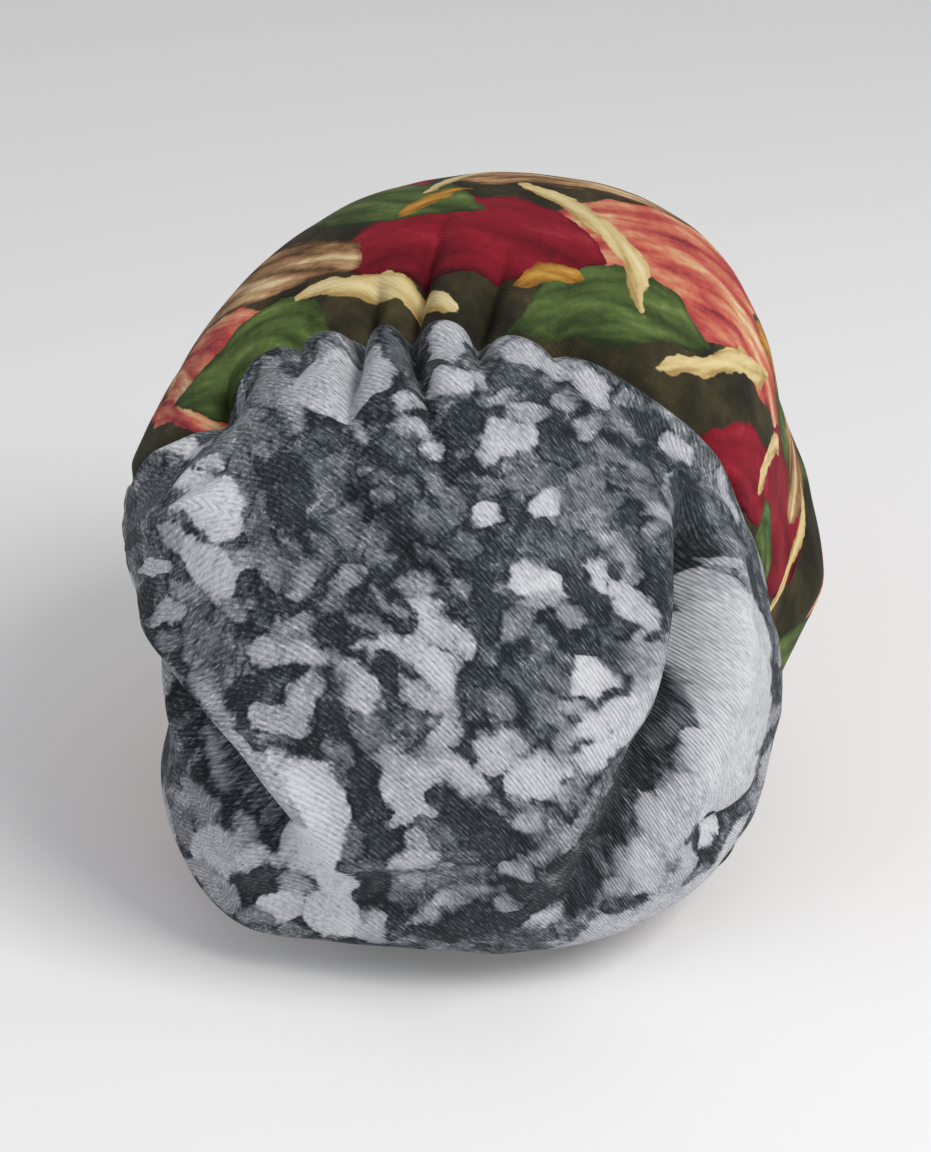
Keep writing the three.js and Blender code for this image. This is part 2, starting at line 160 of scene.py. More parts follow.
# Folds of the bag: a bent line (from, via, to, each as across and down), depth, width, and how far
# a bank leans over the line, whose sign picks the bank
FOLDS = ("x0 y0 x1 y1 x2 y2 depth width lean", [
    (0.52, 0.14, 0.59, 0.42, 0.36, 0.62, 1.5, 0.95, 0.2),
    (0.46, 0.5, 0.39, 0.62, 0.24, 0.78, 0.95, 1.15, 0.15),
    (-0.78, 0.46, -0.46, 0.54, -0.16, 0.74, 1.1, 0.85, -0.45),
    (-0.36, 0.2, -0.31, 0.28, -0.33, 0.42, 0.35, 1.0, 0.0),
    (-0.2, 0.24, -0.07, 0.33, 0.1, 0.4, 0.45, 0.8, 0.5),
    (-0.5, 0.77, -0.2, 0.74, 0.26, 0.68, 0.3, 0.9, -0.4),
    (0.5, 0.65, 0.58, 0.69, 0.7, 0.73, 0.35, 0.8, 0.2),
    (-0.52, 0.22, -0.44, 0.25, -0.36, 0.24, 0.25, 0.5, 0.5),
])
# Soft swellings and hollows between the folds: place, height and width as shares
BAG_SWELLS = ("x y height width", [
    (-0.5, 0.25, 0.8, 0.6),
    (0.08, 0.5, 0.6, 1.4),
    (-0.36, 0.78, 0.4, 0.6),
    (0.56, 0.5, 0.4, 0.8),
    (-0.86, 0.6, -1.2, 0.8),
    (0.05, 0.14, 0.35, 0.7),
])
FRONT_SWELLS = ("x y height width", [
    (-0.86, 0.68, 2.3, 1.0),
    (-0.72, 0.14, -0.1, 0.8),
    (0.84, 0.56, 1.2, 1.1),
    (0.5, 0.22, 0.55, 1.2),
])


def columns(table):
    """The named columns of a table as arrays."""
    names, rows = table
    return dict(zip(names.split(), np.array(rows, float).T))


def each(table):
    """The rows of a table, each with its named values."""
    names, rows = table
    return [dict(zip(names.split(), row)) for row in rows]


# Heights and widths of the tables in millimetres
PANEL_FOOT = BAND_HEIGHT + FOOT_GAP


def height_at(share):
    """Shares above the band's top are of the crown, and shares below it of the band."""
    return PANEL_FOOT + share * np.where(share < 0, BAND_HEIGHT, CROWN_HEIGHT - PANEL_FOOT)


def half_width_at(share):
    """Shares from the opening's half width, 0, to the crown's, 1."""
    return OPENING_HALF_WIDTH + share * (CROWN_HALF_WIDTH - OPENING_HALF_WIDTH)


def middle_line(table, reach):
    """A panel's middle line in millimetres."""
    line = columns(table)
    line["x"] = line["x"] * CROWN_HALF_WIDTH
    line["y"] = line["y"] * reach
    line["z"] = height_at(line["z"])
    return line


def joined(first, second):
    """Two tables of columns, one after the other."""
    return {name: np.concatenate([first[name], second[name]]) for name in first}


def foot_row(y):
    """The last row of a middle line, on the band's top."""
    row = {"down": 1.0, "x": 0.0, "y": y, "z": PANEL_FOOT}
    row.update(left_square=FOOT_SQUARE, right_square=FOOT_SQUARE)
    return {name: [value] for name, value in row.items()}


sides = columns(SEAM_SIDES)
sides["left"] = -half_width_at(sides["left"])
sides["right"] = half_width_at(sides["right"])
sides["left_y"] = sides["left_y"] * BAG_REACH
sides["right_y"] = sides["right_y"] * BAG_REACH
sides["z"] = height_at(sides["z"])
bag_middle = joined(middle_line(BAG_MIDDLE, BAG_REACH), foot_row(-NAPE_REACH))
seam_row = {name: values[:1] for name, values in bag_middle.items()}
front_middle = joined(
    joined(seam_row, middle_line(FRONT_MIDDLE, FRONT_REACH)), foot_row(FRONT_REACH))

# Typical lengths of cloth for one unit across and down
ACROSS_LENGTH = (OPENING_HALF_WIDTH + BAG_REACH) * 0.82
DOWN_LENGTH = CROWN_HEIGHT + 0.9 * BAG_REACH


def curve_at(line, column, down):
    """Cubic through a line's rows, with the slopes of the chords between neighbouring rows."""
    x, y = line["down"], line[column]
    i = np.clip(np.searchsorted(x, down, side="right") - 1, 0, len(x) - 2)
    before, after = np.clip(np.arange(len(x)) - 1, 0, None), np.clip(np.arange(len(x)) + 1, None, len(x) - 1)
    slope = (y[after] - y[before]) / (x[after] - x[before])
    step = x[i + 1] - x[i]
    s = (down - x[i]) / step
    p, q, m, n = y[i], y[i + 1], slope[i] * step, slope[i + 1] * step
    return (2 * p - 2 * q + m + n) * s**3 + (3 * q - 3 * p - 2 * m - n) * s**2 + m * s + p


def bump(distance, width):
    """Bell curve, 1 in the middle."""
    return np.exp(-((distance / width) ** 2))


def crease(distance, width):
    """Rounded V, 1 in the middle, with steep flanks as folded cloth has."""
    sharp = 0.16 * width
    return np.exp(-(np.sqrt(distance**2 + sharp**2) - sharp) / (0.62 * width))


def fade(share):
    """Smooth step from 0 to 1."""
    s = np.clip(share, 0, 1)
    return s * s * (3 - 2 * s)


def unit(vectors):
    """Vectors made one long."""
    return vectors / np.maximum(np.linalg.norm(vectors, axis=-1, keepdims=True), 1e-9)


def plain_panel(line, across, down):
    """A panel without folds: each row is half of a squared ellipse from one side of the crown seam
    over the panel's middle line to the other side."""
    left = np.stack([curve_at(sides, name, down) for name in ("left", "left_y", "z")], -1)
    right = np.stack([curve_at(sides, name, down) for name in ("right", "right_y", "z")], -1)
    centre = (left + right) / 2
    middle = np.stack([curve_at(line, name, down) for name in ("x", "y", "z")], -1)
    middle[..., 0] += centre[..., 0]
    square = np.where(
        across < 0, curve_at(line, "left_square", down), curve_at(line, "right_square", down))
    angle = (1 - across) * np.pi / 2
    c, s = np.cos(angle), np.sin(angle)
    radius = (np.abs(c) ** square + np.abs(s) ** square) ** (-1 / square)
    return centre + (right - left) / 2 * (c * radius)[..., None] + (middle - centre) * (s * radius)[..., None]


def seam_sag(across):
    """How far down the back the crown seam lies below the panels' plain edge."""
    sag = np.zeros_like(across)
    for row in each(SEAM_SAGS):
        sag += row["amount"] * bump(across - row["across"], row["width"])
    return sag


def draped_panel(line, across, down):
    """A panel without folds whose crown seam sags: the back panel starts further down its own
    surface, and the front panel is drawn over to meet it."""
    sag = seam_sag(across)
    if line is bag_middle:
        return plain_panel(line, across, down + sag * (1 - fade(down / BACK_SAG_REACH)))
    drawn = plain_panel(bag_middle, across, sag) - plain_panel(bag_middle, across, 0 * sag)
    return plain_panel(line, across, down) + drawn * (1 - fade(down / FRONT_SAG_REACH))[..., None]


def plain_normal(line, across, down):
    """Outward direction of a panel without folds."""
    step = 0.004
    a = np.clip(across, -1 + step, 1 - step)
    d = np.clip(down, step, 1 - step)
    along = draped_panel(line, a + step, d) - draped_panel(line, a - step, d)
    below = draped_panel(line, a, d + step) - draped_panel(line, a, d - step)
    return unit(np.cross(below, along) if line is bag_middle else np.cross(along, below))


def near_top(down):
    """1 on the crown seam's top edge, fading over the groove's width."""
    return bump(down * DOWN_LENGTH, SEAM_GROOVE_WIDTH)


def near_side(across):
    """1 on the crown seam's sides, fading over the groove's width."""
    return bump((1 - np.abs(across)) * ACROSS_LENGTH, SEAM_GROOVE_WIDTH)


def seam_normal(across, down):
    """The direction in which both panels are pulled at the seam, which is the mean of theirs."""
    return unit(plain_normal(bag_middle, across, down) + plain_normal(front_middle, across, down))


def panel_normal(line, across, down):
    """A panel's outward direction, which turns into the seam's own at the seam."""
    stay = 0.07
    top, side = near_top(down)[..., None], near_side(across)[..., None]
    inner = np.clip(across, -1 + stay, 1 - stay)
    flank = np.where(across < 0, -1.0, 1.0)
    return unit(
        plain_normal(line, across, down) * (1 - top) * (1 - side)
        + seam_normal(inner, np.zeros_like(down)) * top
        + seam_normal(flank, np.maximum(down, stay)) * side)


def tuck_depth(across, down, run):
    """Gathers: creases that start on the crown seam and fade along their run."""
    depth = np.zeros_like(across)
    for tuck in each(TUCKS):
        drift = tuck["drift"] * down if run == "back" else 0
        off = (across - tuck["across"] - drift) * ACROSS_LENGTH
        pulled = 0.45 + 0.55 * fade(down / 0.035)
        depth += tuck["depth"] * crease(off, TUCK_WIDTH * tuck["width"]) * pulled * (
            1 - fade(down / tuck[run]))
    return depth * TUCK_DEPTH


def nearest_on_fold(fold, across, down):
    """For each place: its distance from the fold's bent line, the share along the line, its side,
    and the direction across the line."""
    s = np.linspace(0, 1, 25)
    ends = [fold[k] for k in ("x0", "x1", "x2")], [fold[k] for k in ("y0", "y1", "y2")]
    x, y = (((1 - s) ** 2 * e[0] + 2 * s * (1 - s) * e[1] + s**2 * e[2]) for e in ends)
    x, y = x * ACROSS_LENGTH, y * DOWN_LENGTH
    here = np.stack([across * ACROSS_LENGTH, down * DOWN_LENGTH], -1)
    best = np.full(across.shape, 1e9)
    share, side, way = np.zeros(across.shape), np.zeros(across.shape), np.zeros(here.shape)
    for i in range(len(s) - 1):
        start, along = np.array([x[i], y[i]]), np.array([x[i + 1] - x[i], y[i + 1] - y[i]])
        t = np.clip(((here - start) @ along) / (along @ along), 0, 1)
        off = here - start - t[..., None] * along
        distance = np.linalg.norm(off, axis=-1)
        normal = np.array([-along[1], along[0]]) / np.linalg.norm(along)
        nearer = distance < best
        best = np.where(nearer, distance, best)
        share = np.where(nearer, (i + t) / (len(s) - 1), share)
        side = np.where(nearer, np.sign(off @ normal), side)
        way = np.where(nearer[..., None], normal, way)
    return best, share, side, way


def relief(folds, swells, across, down):
    """Height of folds and swellings above the plain panel, and how far the cloth leans."""
    height, lean = np.zeros(across.shape), np.zeros(across.shape + (2,))
    for fold in folds:
        distance, share, side, way = nearest_on_fold(fold, across, down)
        width = FOLD_WIDTH * fold["width"]
        taper = fade(share / 0.3) * fade((1 - share) / 0.35)
        leaning = np.where(side * fold["lean"] > 0, 1.0, 0.55)
        height -= taper * fold["depth"] * FOLD_DEPTH * crease(distance, width)
        height += taper * fold["depth"] * FOLD_DEPTH * 0.42 * leaning * bump(distance - 1.9 * width, width)
        bank = distance * side * np.sign(fold["lean"])
        lean += (taper * fold["lean"] * width * bump(bank - 0.9 * width, width * 0.8))[..., None] * way
    for swell in swells:
        x = (across - swell["x"]) * ACROSS_LENGTH
        y = (down - swell["y"]) * DOWN_LENGTH
        height += swell["height"] * SWELL_HEIGHT * bump(np.hypot(x, y), SWELL_WIDTH * swell["width"])
    return height, lean[..., 0] / ACROSS_LENGTH, lean[..., 1] / DOWN_LENGTH


def lattice_noise(x, y, seed):
    """Smooth noise from -1 to 1 with one random value at each whole x and y."""
    table = np.random.default_rng(seed).uniform(-1, 1, (256, 256))
    i, j = np.floor(x).astype(int), np.floor(y).astype(int)
    s, t = fade(x - i), fade(y - j)
    top = table[i % 256, j % 256] * (1 - s) + table[(i + 1) % 256, j % 256] * s
    low = table[i % 256, (j + 1) % 256] * (1 - s) + table[(i + 1) % 256, (j + 1) % 256] * s
    return top * (1 - t) + low * t


def wrinkles(across, down, seed):
    """Slight unevenness of limp cloth, in waves of about 24 and 11 mm."""
    x, y = across * ACROSS_LENGTH, down * DOWN_LENGTH
    return WRINKLE_HEIGHT * (
        lattice_noise(x / 24, y / 30, seed) + 0.45 * lattice_noise(x / 11 + y / 40, y / 13, seed + 1))


def panel_surface(line, across, down, fullness=1.0):
    """Outside of a panel with its gathers, folds and seam groove, all as high as the fullness says."""
    is_bag = line is bag_middle
    inside = (
        fade(down * DOWN_LENGTH / SEAM_MARGIN)
        * fade((1 - down) * DOWN_LENGTH / FOOT_MARGIN)
        * fade((1 - np.abs(across)) * ACROSS_LENGTH / SIDE_MARGIN))
    folds, swells = (each(FOLDS), each(BAG_SWELLS)) if is_bag else ([], each(FRONT_SWELLS))
    height, lean_across, lean_down = relief(folds, swells, across, down)
    groove = SEAM_GROOVE * np.maximum(near_top(down), near_side(across) * fade((1 - down) / 0.12))
    height = (height + wrinkles(across, down, 5 if is_bag else 9)) * inside - groove
    if is_bag:
        shoulder = bump(down * DOWN_LENGTH - SHOULDER_DROP, SHOULDER_WIDTH)
        height = height + SHOULDER_HEIGHT * shoulder * fade((0.8 - np.abs(across)) / 0.3)
    height = height - tuck_depth(across, down, "back" if is_bag else "front")
    a, d = across + fullness * lean_across * inside, down + fullness * lean_down * inside
    surface = draped_panel(line, a, d)
    return surface + panel_normal(line, a, d) * (fullness * height * fade((1 - down) / 0.06))[..., None]


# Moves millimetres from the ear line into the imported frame.
band_low, band_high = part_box("rim_band")
ORIGIN = np.array([
    (band_low.x + band_high.x) / 2,
    band_high.y - FRONT_REACH * MM,
    band_low.z,
])


def grid_mesh(name, grid, faces_by_material, attributes, materials):
    """A mesh from points in millimetres, with faces in groups, one for each material."""
    mesh = bpy.data.meshes.new(name)
    faces = np.concatenate(faces_by_material)
    mesh.vertices.add(len(grid))
    mesh.vertices.foreach_set("co", (grid * MM + ORIGIN).astype(np.float32).ravel())
    mesh.loops.add(faces.size)
    mesh.loops.foreach_set("vertex_index", faces.astype(np.int32).ravel())
    mesh.polygons.add(len(faces))
    mesh.polygons.foreach_set("loop_start", np.arange(0, faces.size, 4, dtype=np.int32))
    mesh.polygons.foreach_set("loop_total", np.full(len(faces), 4, dtype=np.int32))
    slots = np.concatenate([np.full(len(group), k) for k, group in enumerate(faces_by_material)])
    mesh.polygons.foreach_set("material_index", slots.astype(np.int32))
    mesh.polygons.foreach_set("use_smooth", np.ones(len(faces), dtype=bool))
    for label, values in attributes.items():
        kind = "FLOAT_VECTOR" if values.ndim == 2 else "FLOAT"
        layer = mesh.attributes.new(label, kind, "POINT")
        layer.data.foreach_set("vector" if values.ndim == 2 else "value", values.astype(np.float32).ravel())
    for material in materials:
        mesh.materials.append(material)
    mesh.update(calc_edges=True)
    mesh.validate()
    piece = bpy.data.objects.new(name, mesh)
    bpy.context.scene.collection.objects.link(piece)
    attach(piece, "root")
    return piece


def grid_normals(grid, outward):
    """Outward directions at the points of a grid, from their neighbours."""
    along = np.empty_like(grid)
    below = np.empty_like(grid)
    along[:, 1:-1] = grid[:, 2:] - grid[:, :-2]
    along[:, 0], along[:, -1] = grid[:, 1] - grid[:, 0], grid[:, -1] - grid[:, -2]
    below[1:-1] = grid[2:] - grid[:-2]
    below[0], below[-1] = grid[1] - grid[0], grid[-1] - grid[-2]
    return unit(np.cross(along, below)) * outward


def arc_lengths(grid):
    """The length along each row from its middle, and down each column from its top."""
    along = np.zeros(grid.shape[:2])
    along[:, 1:] = np.cumsum(np.linalg.norm(np.diff(grid, axis=1), axis=-1), axis=1)
    along -= along[:, grid.shape[1] // 2][:, None]
    below = np.zeros(grid.shape[:2])
    below[1:] = np.cumsum(np.linalg.norm(np.diff(grid, axis=0), axis=-1), axis=0)
    return along, below


def flattened(grid, flat, rounds=400):
    """Where a surface's points are on its flat cloth. Springs to the neighbours along rows, columns
    and diagonals pull each place until its distances are those on the surface."""
    rows, columns_ = grid.shape[:2]
    springs = []
    for below, beside in ((0, 1), (1, 0), (1, 1), (1, -1)):
        start = np.s_[:rows - below, max(0, -beside):columns_ - max(0, beside)]
        end = np.s_[below:, max(0, beside):columns_ + min(0, beside)]
        springs.append((start, end, np.linalg.norm(grid[end] - grid[start], axis=-1)))
    for _ in range(rounds):
        pull = np.zeros_like(flat)
        for start, end, length in springs:
            gap = flat[end] - flat[start]
            excess = gap * (1 - length / np.maximum(np.linalg.norm(gap, axis=-1), 1e-6))[..., None]
            pull[start] += excess
            pull[end] -= excess
        flat = flat + 0.14 * pull
    return flat


def cloth_places(line, across, down):
    """The places of a panel's points on its flat cloth, in millimetres."""
    folded = panel_surface(line, across, down, fullness=0.3)
    flat = flattened(folded, np.stack(arc_lengths(draped_panel(line, across, down)), -1))
    return np.concatenate([flat, 0 * flat[..., :1]], -1)


def shell_faces(rows, columns_, outward):
    """Quads of a closed wall: outside, then inside with the four edges."""
    index = np.arange(rows * columns_).reshape(rows, columns_)
    inner = index + rows * columns_

    def quads(a, b, c, d):
        corners = (a, b, c, d) if outward > 0 else (a, d, c, b)
        return np.stack([corner.ravel() for corner in corners], -1)

    outside = quads(index[:-1, :-1], index[:-1, 1:], index[1:, 1:], index[1:, :-1])
    inside = quads(inner[:-1, :-1], inner[1:, :-1], inner[1:, 1:], inner[:-1, 1:])
    edges = [
        quads(index[:-1, 0], index[1:, 0], inner[1:, 0], inner[:-1, 0]),
        quads(index[:-1, -1], inner[:-1, -1], inner[1:, -1], index[1:, -1]),
        quads(index[0, :-1], inner[0, :-1], inner[0, 1:], index[0, 1:]),
        quads(index[-1, :-1], index[-1, 1:], inner[-1, 1:], inner[-1, :-1]),
    ]
    return outside, np.concatenate([inside, *edges])


def cloth_panel(name, line, size, marks, materials):
    """A panel as one layer of cloth with an outside and an inside."""
    outward = -1 if line is bag_middle else 1
    rows, columns_ = size
    share = np.linspace(-1, 1, columns_)
    across, down = np.meshgrid(0.72 * share + 0.28 * share**3, np.linspace(0, 1, rows) ** 1.1)
    outside = panel_surface(line, across, down)
    seam = np.maximum(near_top(down), near_side(across))[..., None]
    normals = grid_normals(outside, outward) * (1 - seam) + panel_normal(line, across, down) * seam
    inside = outside - unit(normals) * CLOTH
    attributes = {"cloth": cloth_places(line, across, down) * MM}
    attributes.update(marks(across, down))
    attributes = {
        label: np.concatenate([values.reshape(rows * columns_, *values.shape[2:])] * 2)
        for label, values in attributes.items()}
    grid = np.concatenate([outside.reshape(-1, 3), inside.reshape(-1, 3)])
    return grid_mesh(name, grid, shell_faces(rows, columns_, outward), attributes, materials)


# Marks of the two cloths. A mark is a bent, pointed or blunt lens: half its length along its own
# line, half its width across it, its turn in degrees, how far its middle is bowed, and how blunt
# its ends are. Places are in millimetres of cloth from the middle of the crown seam, and those of
# the marks that are seen from behind were charted on the picture, in its pixels.
# Light marks seen from behind: bleached patches whose tones also hold painted light, lighter toward the key
# light's side and darker on the far side.
BLEACHED_SEEN = ("x y length width turn tone", [
    (293, 402, 34, 13, 80, 0.66), (268, 378, 26, 12, 70, 0.55), (344, 383, 34, 24, 80, 0.78),
    (330, 350, 14, 16, 80, 0.6), (357, 426, 16, 9, 40, 0.72), (368, 467, 9, 5, 10, 0.68),
    (396, 352, 20, 9, 80, 0.3), (405, 402, 16, 13, 50, 0.74), (413, 431, 22, 10, 25, 0.74),
    (433, 453, 15, 11, 50, 0.82), (451, 343, 22, 18, 80, 0.78), (448, 377, 24, 17, 20, 0.86),
    (478, 376, 12, 5, 30, 0.72), (523, 354, 19, 13, -30, 0.78), (558, 374, 18, 11, 50, 0.72),
    (592, 392, 28, 15, 50, 0.8), (586, 428, 18, 10, -40, 0.74), (563, 404, 14, 9, 60, 0.6),
    (512, 437, 32, 18, -35, 0.8), (497, 394, 18, 9, -30, 0.62), (527, 415, 14, 22, 80, 0.62),
    (462, 395, 10, 6, 20, 0.5), (487, 458, 14, 7, 60, 0.7), (488, 514, 18, 22, 80, 0.86),
    (547, 502, 17, 21, 60, 0.86), (491, 482, 32, 5, 5, 0.55), (516, 478, 16, 6, 20, 0.5),
    (533, 466, 20, 9, 60, 0.5), (617, 549, 24, 10, 60, 0.62), (677, 453, 14, 12, 0, 0.74),
    (667, 518, 22, 5, 50, 0.72), (650, 535, 12, 9, 40, 0.5), (612, 452, 20, 8, 20, 0.5),
    (640, 470, 22, 7, 30, 0.5), (588, 468, 20, 8, -20, 0.5), (600, 498, 22, 10, -30, 0.45),
    (648, 492, 14, 8, 60, 0.55), (725, 560, 10, 16, 70, 0.66), (536, 578, 28, 20, 0, 0.9),
    (540, 600, 24, 10, -10, 0.66), (597, 571, 26, 10, 62, 0.84), (606, 539, 17, 10, 20, 0.7),
    (628, 560, 22, 10, 80, 0.62), (624, 600, 24, 16, 80, 0.84), (641, 632, 32, 9, 95, 0.78),
    (571, 618, 18, 12, 60, 0.56), (520, 624, 24, 12, -20, 0.58), (545, 640, 20, 9, 30, 0.5),
    (416, 588, 20, 10, 10, 0.78), (427, 612, 26, 10, 62, 0.86), (452, 638, 22, 13, 55, 0.86),
    (437, 630, 20, 14, 50, 0.8), (398, 612, 14, 7, 40, 0.55), (339, 532, 26, 12, 70, 0.5),
    (352, 578, 28, 6, -45, 0.66), (390, 557, 16, 9, 30, 0.52), (379, 498, 16, 9, 40, 0.55),
    (405, 485, 13, 6, 30, 0.55), (304, 578, 26, 7, -38, 0.68), (267, 559, 30, 11, 70, 0.55),
    (293, 632, 30, 12, -62, 0.6), (368, 623, 26, 6, 30, 0.6), (384, 600, 20, 6, 50, 0.55),
    (330, 600, 18, 8, -30, 0.5), (316, 548, 18, 8, 60, 0.48), (440, 560, 20, 7, 40, 0.5),
    (460, 590, 14, 10, 60, 0.55), (470, 545, 16, 7, -20, 0.5), (266, 654, 26, 11, 25, 0.72),
    (300, 655, 38, 10, 8, 0.8), (345, 668, 16, 8, 30, 0.6), (389, 646, 36, 9, -6, 0.8),
    (420, 650, 20, 14, 40, 0.82), (437, 668, 36, 15, 60, 0.9), (432, 700, 26, 15, 10, 0.76),
    (405, 690, 16, 10, 60, 0.66), (450, 712, 14, 10, 60, 0.7), (170, 444, 38, 11, 15, 0.88),
    (212, 462, 12, 11, 40, 0.85), (184, 478, 16, 12, 40, 0.86), (206, 502, 34, 27, 50, 0.9),
    (222, 528, 16, 14, 30, 0.9), (214, 574, 38, 23, 48, 0.9), (196, 552, 22, 13, 30, 0.84),
    (152, 570, 11, 20, 85, 0.82), (170, 610, 10, 17, 75, 0.74), (176, 540, 18, 12, 40, 0.66),
    (186, 590, 20, 9, 35, 0.6), (150, 500, 14, 20, 80, 0.34), (232, 600, 22, 12, 60, 0.6),
    (244, 560, 14, 24, 75, 0.56), (260, 540, 16, 9, 60, 0.46), (140, 460, 18, 8, -30, 0.4),
    (132, 520, 8, 18, 85, 0.3), (210, 635, 22, 8, 20, 0.5), (186, 650, 14, 10, 60, 0.5),
    (160, 640, 10, 14, 70, 0.45), (220, 702, 40, 16, 58, 0.66), (206, 680, 16, 12, 50, 0.62),
    (278, 728, 18, 27, 85, 0.74), (300, 706, 24, 18, -60, 0.76), (312, 690, 16, 14, 0, 0.72),
    (355, 695, 28, 18, 85, 0.86), (348, 672, 12, 16, 60, 0.72), (218, 760, 32, 13, 50, 0.64),
    (256, 776, 10, 28, -80, 0.74), (256, 778, 9, 28, 88, 0.7), (252, 826, 25, 11, 60, 0.7),
    (182, 800, 8, 15, 70, 0.62), (198, 798, 18, 11, 30, 0.52), (182, 826, 13, 12, 30, 0.48),
    (218, 852, 34, 18, 15, 0.78), (278, 859, 11, 8, 20, 0.78), (200, 872, 24, 6, 15, 0.62),
    (280, 908, 24, 24, 60, 0.9), (216, 890, 26, 11, 25, 0.62), (256, 918, 24, 9, 20, 0.5),
    (292, 880, 14, 13, 60, 0.64), (306, 793, 42, 36, 30, 0.96), (290, 770, 24, 20, 30, 0.92),
    (326, 812, 26, 20, 60, 0.92), (312, 858, 42, 19, 42, 0.95), (336, 882, 20, 14, 40, 0.9),
    (333, 920, 28, 26, 10, 0.92), (370, 932, 18, 14, -30, 0.75), (350, 850, 12, 8, 20, 0.5),
    (373, 742, 22, 10, 30, 0.5), (338, 748, 20, 10, 20, 0.44), (170, 735, 12, 18, 60, 0.35),
    (411, 782, 24, 30, 70, 0.84), (394, 760, 14, 14, 50, 0.72), (413, 812, 11, 26, 88, 0.8),
    (413, 838, 13, 9, 10, 0.78), (411, 858, 30, 11, 2, 0.8), (413, 878, 12, 8, 0, 0.66),
    (446, 737, 16, 18, 70, 0.74), (444, 754, 24, 14, 30, 0.7), (461, 772, 28, 19, 40, 0.86),
    (478, 786, 16, 12, 40, 0.8), (492, 745, 30, 14, -25, 0.86), (504, 758, 14, 24, 85, 0.8),
    (516, 742, 16, 14, 40, 0.8), (533, 781, 25, 22, 30, 0.92), (546, 762, 14, 12, 60, 0.76),
    (560, 800, 16, 9, 30, 0.72), (533, 826, 13, 10, 30, 0.74), (518, 870, 13, 11, 30, 0.72),
    (543, 850, 30, 8, -38, 0.62), (443, 902, 34, 9, -27, 0.82), (426, 916, 22, 8, -30, 0.72),
    (480, 895, 32, 6, -27, 0.66), (508, 905, 7, 18, 80, 0.62), (547, 918, 18, 10, 20, 0.76),
    (500, 806, 16, 5, 30, 0.6), (476, 800, 14, 5, 20, 0.6), (400, 888, 18, 7, -20, 0.5),
    (520, 800, 14, 7, 30, 0.6), (565, 770, 18, 11, 50, 0.62), (575, 830, 24, 8, -40, 0.62),
    (590, 800, 18, 7, -50, 0.6), (597, 676, 18, 22, 80, 0.94), (603, 716, 46, 15, -40, 0.94),
    (622, 706, 26, 12, -50, 0.9), (598, 757, 48, 11, -36, 0.92), (634, 722, 22, 10, -50, 0.86),
    (565, 702, 16, 9, 0, 0.76), (548, 716, 22, 10, 30, 0.6), (572, 738, 22, 9, -40, 0.66),
    (540, 700, 18, 10, 20, 0.5), (560, 745, 12, 12, 30, 0.6), (575, 795, 14, 8, 20, 0.6),
    (654, 690, 24, 10, -60, 0.78), (660, 660, 22, 10, 70, 0.66), (648, 664, 14, 10, 50, 0.6),
    (575, 660, 16, 10, 30, 0.44), (520, 680, 22, 8, 35, 0.42), (556, 676, 14, 8, 20, 0.46),
])
BLEACHED = ("x y length width turn tone", [
    (-104, 150, 14, 8, 60, 0.6), (24, 252, 20, 7, 5, 0.7), (-40, 248, 18, 8, -10, 0.75),
    (84, 250, 18, 7, 10, 0.7), (-96, 214, 14, 8, 40, 0.7), (124, 196, 14, 8, 60, 0.75),
    (-120, 112, 12, 7, 80, 0.7), (130, 66, 13, 6, 70, 0.6), (104, 46, 12, 6, 60, 0.7),
    (-118, 44, 14, 6, 60, 0.62), (0, 262, 22, 5, 0, 0.6), (-132, 180, 16, 9, 50, 0.7),
    (136, 236, 15, 8, 70, 0.72), (112, 232, 14, 6, 30, 0.6), (-126, 236, 16, 8, 30, 0.72),
    (-74, 246, 14, 6, 0, 0.64), (52, 262, 12, 5, 20, 0.6), (142, 130, 12, 9, 60, 0.7),
    (-144, 76, 12, 8, 70, 0.62), (-140, 132, 13, 7, 40, 0.66), (144, 92, 11, 8, 60, 0.6),
    (128, 166, 13, 7, 30, 0.6), (96, 132, 42, 18, 84, 0.9), (91, 165, 24, 18, 75, 0.92),
    (108, 112, 20, 10, 80, 0.84), (101, 176, 13, 12, 60, 0.88), (90, 96, 10, 7, 80, 0.82),
    (72, 168, 14, 6, 115, 0.84), (68, 186, 14, 7, 120, 0.84), (113, 150, 26, 10, 80, 0.88),
    (88, 150, 14, 8, 80, 0.86), (76, 170, 9, 6, 115, 0.8), (91, 194, 6.5, 2.8, 5, 0.97),
    (76, 196, 9, 5, -50, 0.76), (63, 212, 18, 8, -28, 0.84), (84, 213, 20, 8, -25, 0.88),
    (100, 210, 14, 8, -25, 0.86), (52, 226, 16, 6, -25, 0.82), (73, 228, 20, 8, -22, 0.86),
    (95, 226, 16, 8, -20, 0.86), (60, 196, 6, 4, -50, 0.7),
])
